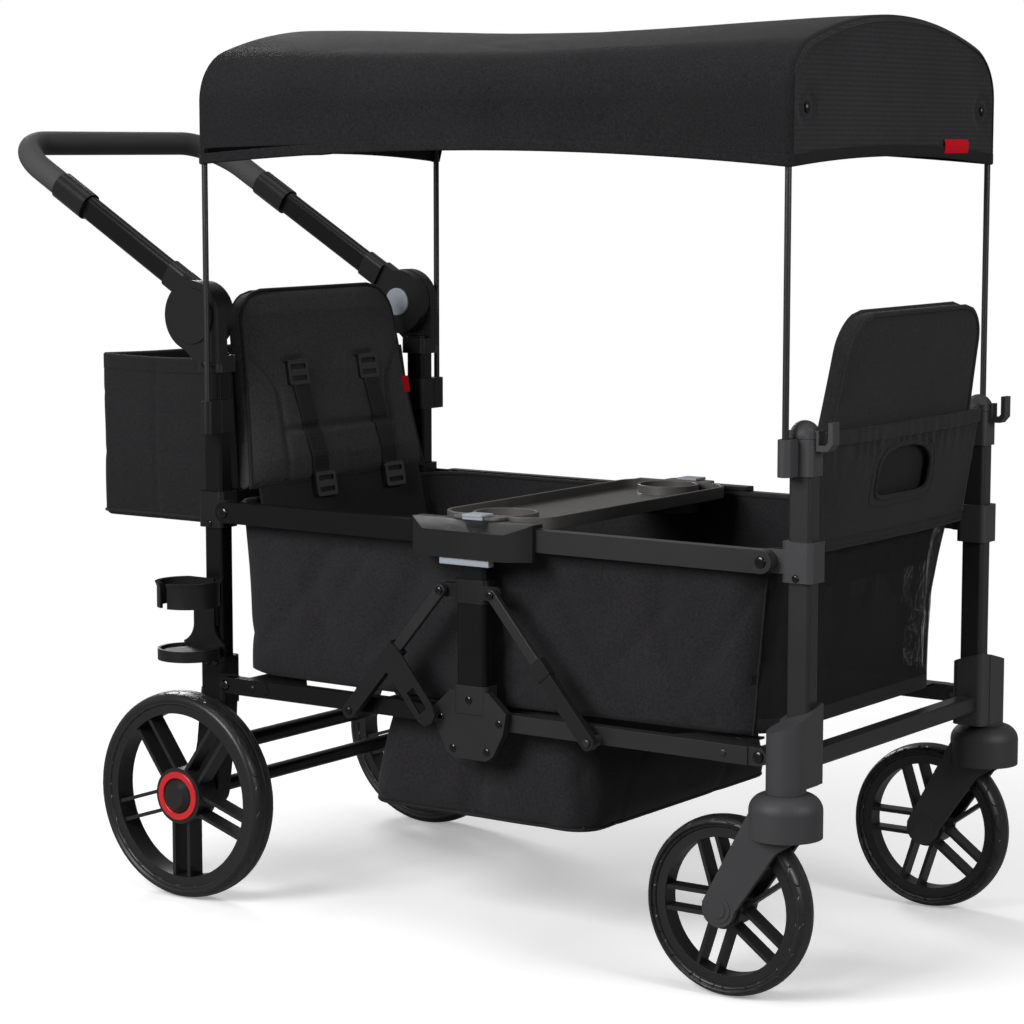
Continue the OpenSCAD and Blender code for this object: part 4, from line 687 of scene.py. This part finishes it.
def pad_half(t):
    over = max(0.0, t * pad_len - (pad_len - pad_round))
    side = pad_foot_half - pad_taper * t - 0.004 * math.sin(math.pi * t)
    return side - (pad_round - math.sqrt(max(0.0, pad_round ** 2 - over ** 2)))


def pad_face(y, t, slots):
    h = max(pad_half(t), 0.02)
    s = y / h
    edge = bulge(s, 6) * min(1.0, 2.2 * math.sin(math.pi * (0.04 + 0.92 * t)))
    rise = 0.011 * edge
    bend = min(1.0, max(0.0, (t - 0.42) / 0.26))
    bolster = 0.118 + (h - 0.118) * bend ** 2
    if t < 0.69:
        rise -= 0.0055 * math.exp(-((abs(y) - bolster) / 0.0045) ** 2) * min(1.0, edge * 3)
    if abs(y) < bolster:
        rise -= 0.0045 * math.exp(-((t - 0.27) * pad_len / 0.0045) ** 2)
    if slots:
        for slot_y in (-0.082, 0.074):
            mouth = 0.006 * math.exp(-((t - 0.63) * pad_len / 0.004) ** 4)
            rise -= mouth * math.exp(-((y - slot_y) / 0.022) ** 6)
    rise += 0.0012 * noise.noise(Vector((y * 14, t * 5, 2.0 if slots else 7.0)))
    return rise


def seat_pad(name, slots, face):
    def place(u, t):
        h = pad_half(t)
        close = min(t, 1 - t) / 0.05
        thin = 0.45 + 0.55 * math.sqrt(max(0.0, 1 - (1 - min(1.0, close)) ** 2))
        if u < 0.62:
            s = -1 + 2 * u / 0.62
            y = s * h
            x = 0.010 + (0.010 + pad_face(y, t, slots)) * thin
        elif u < 0.68:
            f = (u - 0.62) / 0.06
            y = h + 0.003 * math.sin(math.pi * f)
            x = 0.010 + 0.010 * thin * math.cos(math.pi * f)
        elif u < 0.94:
            s = 1 - 2 * (u - 0.68) / 0.26
            y = s * h
            x = 0.010 - 0.0095 * thin - 0.002 * bulge(s, 8) * bulge((t - 0.78) / 0.22, 4)
        else:
            f = (u - 0.94) / 0.06
            y = -h - 0.003 * math.sin(math.pi * f)
            x = 0.010 - 0.010 * thin * math.cos(math.pi * f)
        return face(Vector((x, y, t * pad_len)))

    pad = cloth_grid(name, 150, 90, (0.80, 0.27), place)
    bm = bmesh.new()
    bm.from_mesh(pad.data)
    bmesh.ops.holes_fill(bm, edges=[e for e in bm.edges if e.is_boundary], sides=0)
    bmesh.ops.recalc_face_normals(bm, faces=bm.faces[:])
    bm.to_mesh(pad.data)
    bm.free()
    # The rear pad takes the cloth copy painted light.
    pad.data.materials.append(rear_cloth_painted_light if slots else pad_cloth)
    return pad


def rear_face(p):
    return Vector((rear_x + 0.011 + p.x * math.cos(lean) - p.z * math.sin(lean), p.y,
                   seat_foot + p.z * math.cos(lean) + p.x * math.sin(lean)))


def front_face(p):
    q = rear_face(p)
    return Vector((2 * mid_x - q.x, q.y, q.z))


def pad_outline(x, face):
    right = [Vector((x, pad_half(i / 60) - 0.001, i / 60 * pad_len)) for i in range(61)]
    return [face(p) for p in right] + [face(Vector((p.x, -p.y, p.z))) for p in reversed(right)]


for name, slots, face, body in (("rear_seat_pad", True, rear_face, "rear_frame"),
                                ("front_seat_pad", False, front_face, "front_frame")):
    pad = seat_pad(name, slots, face)
    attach(pad, body)
    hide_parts(name.replace("pad", "back"))
    for edge_name, x in (("face", 0.019), ("back", 0.001)):
        piping(f"{name}_{edge_name}_piping", pad_outline(x, face), 0.0030, binding_cloth,
               body, closed=True)

    def tail_place(u, v, face=face):
        y = (2 * u - 1) * 0.178
        wave = 0.0012 * noise.noise(Vector((y * 18, v * 3, 5.0)))
        return face(Vector((0.0202 + 0.005 * abs(2 * u - 1) ** 5 * v + wave, y, 0.006 - 0.084 * v)))

    tail = cloth_grid(name.replace("pad", "tail"), 60, 16, (0.356, 0.084), tail_place)
    dress(tail, pad_cloth, body)
    thicken(tail, 0.0016, 0.0)

# Harness: two shoulder straps of polypropylene webbing with plastic slide adjusters. Each comes out
# of a slot, lies on the pad and ends below the lower adjuster.
webbing = cloth_finish("harness_webbing", (0.006, 0.006, 0.0065), pitch=0.0024, depth=0.0005,
                       rough=0.6, ribs=0.4, specular=0.35)
buckle_plastic = hard_finish("buckle_plastic", (0.008, 0.008, 0.0082), rough=0.16, spread=0.04,
                             scale=1600, depth=0.00002, Coat_Weight=0.8)
strap_w, strap_probes = 0.034, (-0.017, -0.008, 0.0, 0.008, 0.017)
for side, label in ((-1, "right"), (1, "left")):

    def strap_place(u, v, side=side):
        t = 0.625 - 0.725 * v
        y0 = side * 0.078 - 0.004 + 0.040 * (0.62 - t) / 0.72
        y = y0 + (u - 0.5) * strap_w
        top = max(pad_face(y0 + d, max(0.04, t), False) for d in strap_probes)
        lift = 0.0225 - 0.0035 * math.exp(-(v / 0.02) ** 2)
        return rear_face(Vector((lift + top, y, t * pad_len)))

    strap = cloth_grid(f"shoulder_strap_{label}", 8, 60, (strap_w, 0.18), strap_place)
    dress(strap, webbing, "rear_frame")
    if side < 0:
        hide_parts("harness_straps")
    thicken(strap, 0.0016, 0.0)
eased("harness_adjusters", 0.0008, buckle_plastic)

# Panel between the front posts: the same polyester, sewn to the posts' pockets and gathered under its
# top hem. A bound D-shaped mouth opens into a flat pocket; the sheet close behind the mouth is dark cloth,
# painted shade for the inside of the pocket.
# Dark cloth just behind the pocket mouth: painted shade for the inside of the pocket.
pocket_shade_cloth = cloth_finish("pocket_painted_shade", (0.0060, 0.0060, 0.0064), pitch=0.0012, depth=0.00012,
                            rough=0.7)
panel_half, panel_foot, panel_top, panel_gap = 0.2060, -0.0202, 0.1275, 0.0006
mouth_z, mouth_half = 0.066, 0.066


def panel_bulge(y, z):
    f = (z - panel_foot) / (panel_top - panel_foot)
    out = 0.011 * bulge(y / panel_half, 3) * math.sin(math.pi * min(1.0, max(0.0, 0.10 + 0.75 * f)))
    below = panel_top - 0.017 - z
    pleat = math.exp(-max(0.0, below) / 0.014) * (1.0 if below > 0 else 0.25)
    run = 46 * y + 0.9 * noise.noise(Vector((y * 21, z * 9, 3.0)))
    out += 0.0021 * pleat * math.sin(2 * math.pi * run) * bulge(y / panel_half, 6)
    out += 0.0007 * noise.noise(Vector((y * 11, z * 9, 1.5))) * bulge(y / panel_half, 4)
    return out


def on_panel(y, z, lift=0.0):
    return front_face(Vector((-panel_gap - panel_bulge(y, z) - lift, y, z)))


def mouth_edge(a, grow=0.0):
    c, s = math.cos(a), math.sin(a)
    power = 2 / 2.6 if s > 0 else 2 / 5.5
    high = 0.034 if s > 0 else 0.027
    y = math.copysign(abs(c) ** power, c) * (mouth_half + grow)
    return y, mouth_z + math.copysign(abs(s) ** power, s) * (high + grow)


def panel_place(u, v):
    a = 2 * math.pi * u
    y0, z0 = mouth_edge(a)
    c, s = math.cos(a), math.sin(a)
    high = panel_top - mouth_z if s > 0 else mouth_z - panel_foot
    far = min(panel_half / max(1e-6, abs(c)), high / max(1e-6, abs(s)))
    f = v ** 1.1
    y, z = y0 + (far * c - y0) * f, z0 + (mouth_z + far * s - z0) * f
    return on_panel(y, z)


panel = cloth_grid("front_panel_cloth", 320, 44, (1.0, 0.15), panel_place, lay=lambda p: (p.y, p.z))
dress(panel, pad_cloth, "front_frame")
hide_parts("front_panel")
thicken(panel, 0.0014, 0.0)


def panel_line(z):
    return [on_panel(panel_half * (i / 40 - 1), z, lift=0.0016) for i in range(81)]


for k, z in enumerate((panel_foot + 0.004, panel_foot + 0.013)):
    piping(f"front_panel_foot_seam_{k}", panel_line(z), 0.0011, binding_cloth, "front_frame")


def mouth_line(grow, lift):
    return [on_panel(*mouth_edge(2 * math.pi * i / 120, grow), lift) for i in range(120)]


for name, grow, lift, radius in (("pocket_mouth_binding", 0.002, 0.0004, 0.0030),
                                 ("pocket_seam", 0.0135, 0.0002, 0.0013)):
    piping(name, mouth_line(grow, lift), radius, binding_cloth, "front_frame", closed=True)


def shade_sheet_place(u, v):
    sink = 0.0012 * math.sin(math.pi * u) * math.sin(math.pi * v)
    return front_face(Vector((-0.0016 - sink, (u - 0.5) * 0.164, mouth_z + (v - 0.47) * 0.086)))


# The dark sheet behind the mouth, painted shade for the inside of the pocket.
shade_sheet = cloth_grid("pocket_painted_shade_sheet", 40, 24, (0.16, 0.09), shade_sheet_place)
dress(shade_sheet, pocket_shade_cloth, "front_frame")
thicken(shade_sheet, 0.0006, 0.0)


def bound_edge(name, steps, edge, reach, out, inside, material, body):
    def place(u, v):
        point, normal, way = edge(u)
        if v < 0.44:
            return point + normal * out + Vector((0, 0, way * reach * (1 - v / 0.44)))
        if v < 0.56:
            f = (v - 0.44) / 0.12
            middle, half = (out - inside) / 2, (out + inside) / 2
            turn_in = Vector((0, 0, way * half * math.sin(math.pi * f)))
            return point + normal * (middle + half * math.cos(math.pi * f)) - turn_in
        return point - normal * inside + Vector((0, 0, way * reach * (v - 0.56) / 0.44))

    band = cloth_grid(name, steps, 18, (1.5, 2 * reach), place)
    dress(band, material, body)
    thicken(band, 0.0007, 0.0)
    return band


def panel_rim(u):
    y = (2 * u - 1) * panel_half
    return on_panel(y, panel_top), Vector((1, 0, 0)), -1


bound_edge("front_panel_top_hem", 90, panel_rim, reach=0.016, out=0.0014, inside=0.0010,
           material=pad_cloth, body="front_frame")

# Parent's bag: a soft polyester box with a stiffened bottom, open at the top, that hangs behind the rear
# posts from the panel between them. Its rim is hemmed; a fold line runs down each side.
bag_cloth = cloth_finish("bag_polyester", (0.0130, 0.0120, 0.0136), pitch=0.0010, depth=0.0002,
                         sheen=0.07)
bag_front, bag_deep, bag_half, bag_foot, bag_rim = rear_x - 0.0355, 0.2015, 0.1955, 0.4975, 0.7215
bag_corner, bag_round = 0.011, 0.009
bag_mid = bag_front - bag_deep / 2


def bag_wall(s, t):
    x, y, nx, ny = loop_point(s, bag_deep / 2, bag_half, bag_corner)
    away = math.sin(math.pi * t)
    if nx > 0.5:
        out = -0.003 * away * bulge(y / bag_half, 4)
    elif nx < -0.5:
        out = 0.005 * away * bulge(y / bag_half, 3) - 0.003 * t ** 4 * bulge(y / bag_half, 2)
    else:
        out = 0.0035 * away * bulge(2 * x / bag_deep, 3) - 0.0022 * math.exp(-(x / 0.0035) ** 2)
    ripple = 0.0010 * noise.noise(Vector((x * 11, y * 9, t * 3)))
    out += ripple - 0.0012 * away * crease(x * 7, y * 6, t * 2.5)
    dip = 0.004 * bulge(y / bag_half, 2) if abs(nx) > 0.5 else 0.0025 * bulge(2 * x / bag_deep, 2)
    z = bag_foot + bag_round + (bag_rim - bag_foot - bag_round - dip) * t
    return Vector((bag_mid + x + nx * out, y + ny * out, z))


def bag_outward(s):
    return Vector((*loop_point(s, bag_deep / 2, bag_half, bag_corner)[2:], 0))


def bag_place(u, v):
    if v <= 0.60:
        return bag_wall(u, 1 - v / 0.60)
    foot, outward = bag_wall(u, 0), bag_outward(u)
    if v <= 0.70:
        a = (v - 0.60) / 0.10 * math.pi / 2
        return foot - outward * bag_round * (1 - math.cos(a)) - Vector((0, 0, bag_round * math.sin(a)))
    f = (v - 0.70) / 0.30
    edge = foot - outward * bag_round - Vector((0, 0, bag_round))
    dip = Vector((0, 0, 0.003 * math.sin(math.pi * min(1.0, f * 1.6))))
    return edge.lerp(Vector((bag_mid, 0, bag_foot)), f) - dip


bag = cloth_grid("rear_bag_cloth", 280, 90, (1.13, 0.32), bag_place)
dress(bag, bag_cloth, "rear_frame")
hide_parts("rear_bag")
thicken(bag, 0.0022)


def bag_mouth(u):
    return bag_wall(u, 1.0), bag_outward(u), -1


bound_edge("rear_bag_rim_hem", 200, bag_mouth, reach=0.019, out=0.0010, inside=0.0032,
           material=bag_cloth, body="rear_frame")
bottom_line = [bag_wall(i / 160, 0.0) - Vector((0, 0, 0.002)) for i in range(160)]
piping("rear_bag_bottom_piping", bottom_line, 0.0024, binding_cloth, "rear_frame", closed=True)


def rear_panel_place(u, v):
    y = (2 * u - 1) * panel_half
    if v < 0.8:
        z = 0.002 + 0.1735 * v / 0.8
        slack = 0.004 * bulge(y / panel_half, 3) * math.sin(math.pi * v / 0.8)
        return rear_face(Vector((-0.0016 - slack, y, z)))
    top = rear_face(Vector((-0.0016, y, 0.1755)))
    f = (v - 0.8) / 0.2
    rim = Vector((bag_front - 0.001, y * bag_half / panel_half * 0.97,
                  bag_rim - 0.004 * bulge(y / panel_half, 2)))
    return top.lerp(rim, f) - Vector((0, 0, 0.003 * math.sin(math.pi * f)))


rear_panel = cloth_grid("rear_panel_cloth", 80, 70, (0.42, 0.21), rear_panel_place)
dress(rear_panel, pad_cloth, "rear_frame")
thicken(rear_panel, 0.0014, 0.0)

# Snack tray: moulded in warm dark grey with two cup wells and a dished middle; it drops on the latches.
tray_plastic = hard_finish("tray_plastic", (0.100, 0.095, 0.091), rough=0.40, spread=0.10,
                           scale=1900, depth=0.0001, Specular_IOR_Level=0.45)
eased("tray", 0.0028, tray_plastic, segments=3)

# Canopy rods: 8 mm spring steel, black coated, bent to the arch and pushed into the clips on the posts.
rod_y, arch_low, arch_r, shoulder_r, shoulder_z = 0.255, 0.458, 0.700, 0.064, 1.0646
arch_turn = math.asin((rod_y - shoulder_r) / (arch_r - shoulder_r))


def rod_line(x, foot):
    half = [Vector((x, -rod_y, z)) for z in (foot, (foot + shoulder_z) / 2, shoulder_z)]
    for i in range(1, 13):
        a = math.pi - (math.pi / 2 - arch_turn) * i / 12
        y = -rod_y + shoulder_r + shoulder_r * math.cos(a)
        half.append(Vector((x, y, shoulder_z + shoulder_r * math.sin(a))))
    for i in range(1, 16):
        a = math.pi / 2 + arch_turn * (1 - i / 15)
        half.append(Vector((x, arch_r * math.cos(a), arch_low + arch_r * math.sin(a))))
    return half + [Vector((p.x, -p.y, p.z)) for p in reversed(half[:-1])]


for hoop, body in (("rear_hoop", "rear_frame"), ("front_hoop", "front_frame")):
    low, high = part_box(hoop)
    line = rod_line((low.x + high.x) / 2, low.z)
    rod = piping(hoop.replace("hoop", "canopy_rod"), line, 0.004, coat, body)
    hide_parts(hoop)

# Canopy: a fitted cover of stretch polyester over the rods, sewn from a roof with its sides and two ribbed
# end panels, with a bound hem. Snaps hold it at the front.
rib_cloth = cloth_finish("canopy_rib", (0.0190, 0.0176, 0.0198), pitch=0.0029, depth=0.0004,
                         ribs=1.0, sheen=0.10)
roof_cloth = cloth_finish("canopy_polyester", (0.0145, 0.0135, 0.0151), pitch=0.0010, depth=0.0002,
                          sheen=0.03, specular=0.15)
hem_z, over, corner = 0.985, 0.0069, 0.009
roof_rear, roof_front = rear_x + 0.009 - over, front_x - 0.009 + over
roof_mid, roof_half = (roof_rear + roof_front) / 2, (roof_front - roof_rear) / 2
outer_half = rod_y + over
snap_y, snap_z = 0.224, 1.052


def hem_height(x, y):
    along, across = (x - roof_mid) / roof_half, y / outer_half
    arch = 0.019 * max(0.0, 1 - along ** 2) + 0.012 * max(0.0, 1 - across ** 2)
    return hem_z + arch + 0.019 * max(0.0, across) * max(0.0, -along)


def roof_edge(w, inset, sag, low):
    side = -1 if w <= 0.5 else 1
    reach = over - inset
    rise = shoulder_z - hem_z
    bend, run = (shoulder_r + over) * (math.pi / 2 - arch_turn), (arch_r + over) * arch_turn
    d = min(w, 1 - w) * 2 * (rise + bend + run)
    if d <= rise:
        f = d / rise
        y, z, drop = rod_y + reach, low + (shoulder_z - low) * f, 0.0
        y -= 0.0025 * sag / 0.012 * math.sin(math.pi * f)
    elif d <= rise + bend:
        f = (d - rise) / bend
        a = (math.pi / 2 - arch_turn) * f
        y = rod_y - shoulder_r + (shoulder_r + reach) * math.cos(a)
        z, drop = shoulder_z + (shoulder_r + reach) * math.sin(a), 0.6 * f
    else:
        a = arch_turn * (1 - (d - rise - bend) / run)
        y, z = (arch_r + reach) * math.sin(a), arch_low + (arch_r + reach) * math.cos(a)
        drop = 0.6 + 0.4 * math.cos(a / arch_turn * math.pi / 2)
    return side * y, z - sag * drop


def canopy_place(u, v):
    way = -1 if v < 0.5 else 1
    near = min(v, 1 - v)
    if near < 0.20:
        y, z = roof_edge(u, corner, 0, hem_z)
        foot_y = (2 * u - 1) * (outer_half - corner)
        f = 1 - near / 0.20
        foot_z = hem_height(roof_mid + roof_half, foot_y)
        y, z = y + (foot_y - y) * f, z + (foot_z - z) * f
        flat = bulge(y / outer_half, 6) * min(1.0, (z - hem_z) / 0.02)
        dent = 0.0022 * math.exp(-((math.hypot(abs(y) - snap_y, z - snap_z) - 0.016) / 0.006) ** 2)
        out = -0.0018 * flat * math.sin(math.pi * min(1, max(0, (z - hem_z) / 0.16))) - dent
        out += 0.0008 * noise.noise(Vector((y * 16, z * 12, way))) * flat
        return Vector((roof_mid + way * (roof_half + out), y, z))
    if near < 0.25:
        a = (near - 0.20) / 0.05 * math.pi / 2
        inset, x = corner * (1 - math.sin(a)), roof_half - corner * (1 - math.cos(a))
        y, z = roof_edge(u, inset, 0, hem_z)
        return Vector((roof_mid + way * x, y, z))
    t = (v - 0.25) / 0.5
    x = roof_mid + (2 * t - 1) * (roof_half - corner)
    sag = 0.012 * math.sin(math.pi * t) ** 1.6
    y, z = roof_edge(u, 0, sag, hem_height(x, outer_half))
    soft = math.sin(math.pi * t) * 0.5 + 0.5 * max(0.0, 1 - abs(abs(2 * t - 1) - 0.93) / 0.07)
    ripple = 0.0016 * noise.noise(Vector((x * 3.2, y * 5, z * 5)))
    pull = ripple + 0.0012 * crease(x * 5 + y * 4, y * 6, z * 5)
    return Vector((x, y - math.copysign(pull, y) * soft * abs(y) / outer_half, z - pull * soft))


canopy = cloth_grid("canopy_cloth", 250, 190, (0.77, 1.25), canopy_place)
canopy.data.materials.append(roof_cloth)
canopy.data.materials.append(rib_cloth)
laid = canopy.data.uv_layers[0].data
for face in canopy.data.polygons:
    end = abs(face.normal.x) > 0.8
    if end and abs(face.center.y) < outer_half - corner:
        face.material_index = 1
    if end:
        for k in face.loop_indices:
            at = canopy.data.vertices[canopy.data.loops[k].vertex_index].co
            laid[k].uv = (at.y, at.z)
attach(canopy, "rear_frame")
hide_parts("canopy")
thicken(canopy, 0.0018)
folds_up(canopy)


def canopy_hem(u):
    x, y, nx, ny = loop_point(u, roof_half, outer_half, corner)
    return Vector((roof_mid + x, y, hem_height(roof_mid + x, y))), Vector((nx, ny, 0)), 1


folds_up(bound_edge("canopy_hem_binding", 320, canopy_hem, reach=0.012, out=0.0009, inside=0.0020,
                    material=roof_cloth, body="rear_frame"))
for end, x in (("rear", roof_rear - 0.0002), ("front", roof_front + 0.0002)):
    line = [Vector((x, *roof_edge(i / 120, corner - 0.001, 0, hem_z + 0.012))) for i in range(121)]
    folds_up(piping(f"canopy_{end}_seam", line, 0.0011, binding_cloth, "rear_frame"))
snap_plastic = hard_finish("snap_plastic", (0.003, 0.003, 0.0032), rough=0.30, spread=0.05,
                           scale=1800, depth=0.00003)
cap = [(0, 0.0030), (0.0026, 0.0029), (0.0050, 0.0022), (0.0064, 0.0012),
       (0.0070, 0.0004), (0.0070, -0.0004), (0, -0.0004)]
for side, label in ((-1, "right"), (1, "left")):
    snap = turned_ring(f"canopy_snap_{label}", (0, 0, 0), cap, steps=40)
    seat = Matrix.Translation((roof_front + 0.0002, side * snap_y, snap_z))
    snap.data.transform(seat @ Matrix.Rotation(-math.pi / 2, 4, "Z"))
    dress(snap, snap_plastic, "rear_frame")
    folds_up(snap)

# Tags: two plain red woven tabs, one sewn to the canopy's front panel, one in the seat's side seam.
red_weave = cloth_finish("red_tab", (0.62, 0.006, 0.017), pitch=0.0008, depth=0.00015,
                         rough=0.8, sheen=0.0, amount=0.12, specular=0.1, heather=0.1)


def tab(name, place, body):
    piece = cloth_grid(name, 24, 12, (0.064, 0.017), place)
    dress(piece, red_weave, body)
    thicken(piece, 0.0006, 0.0)
    return piece


def canopy_tab_place(u, v):
    x = roof_front + 0.0012 + 0.0012 * math.sin(math.pi * v)
    return Vector((x, 0.118 + 0.064 * u, 0.9985 + 0.0175 * v))


def seat_tab_place(u, v):
    x = 0.0225 + 0.002 * math.sin(math.pi * u)
    return rear_face(Vector((x, seat_edge - 0.012 + 0.016 * u, 0.105 + 0.024 * v)))


seat_edge = pad_half(0.43)
folds_up(tab("canopy_tab", canopy_tab_place, "rear_frame"))
tab("seat_tab", seat_tab_place, "rear_frame")
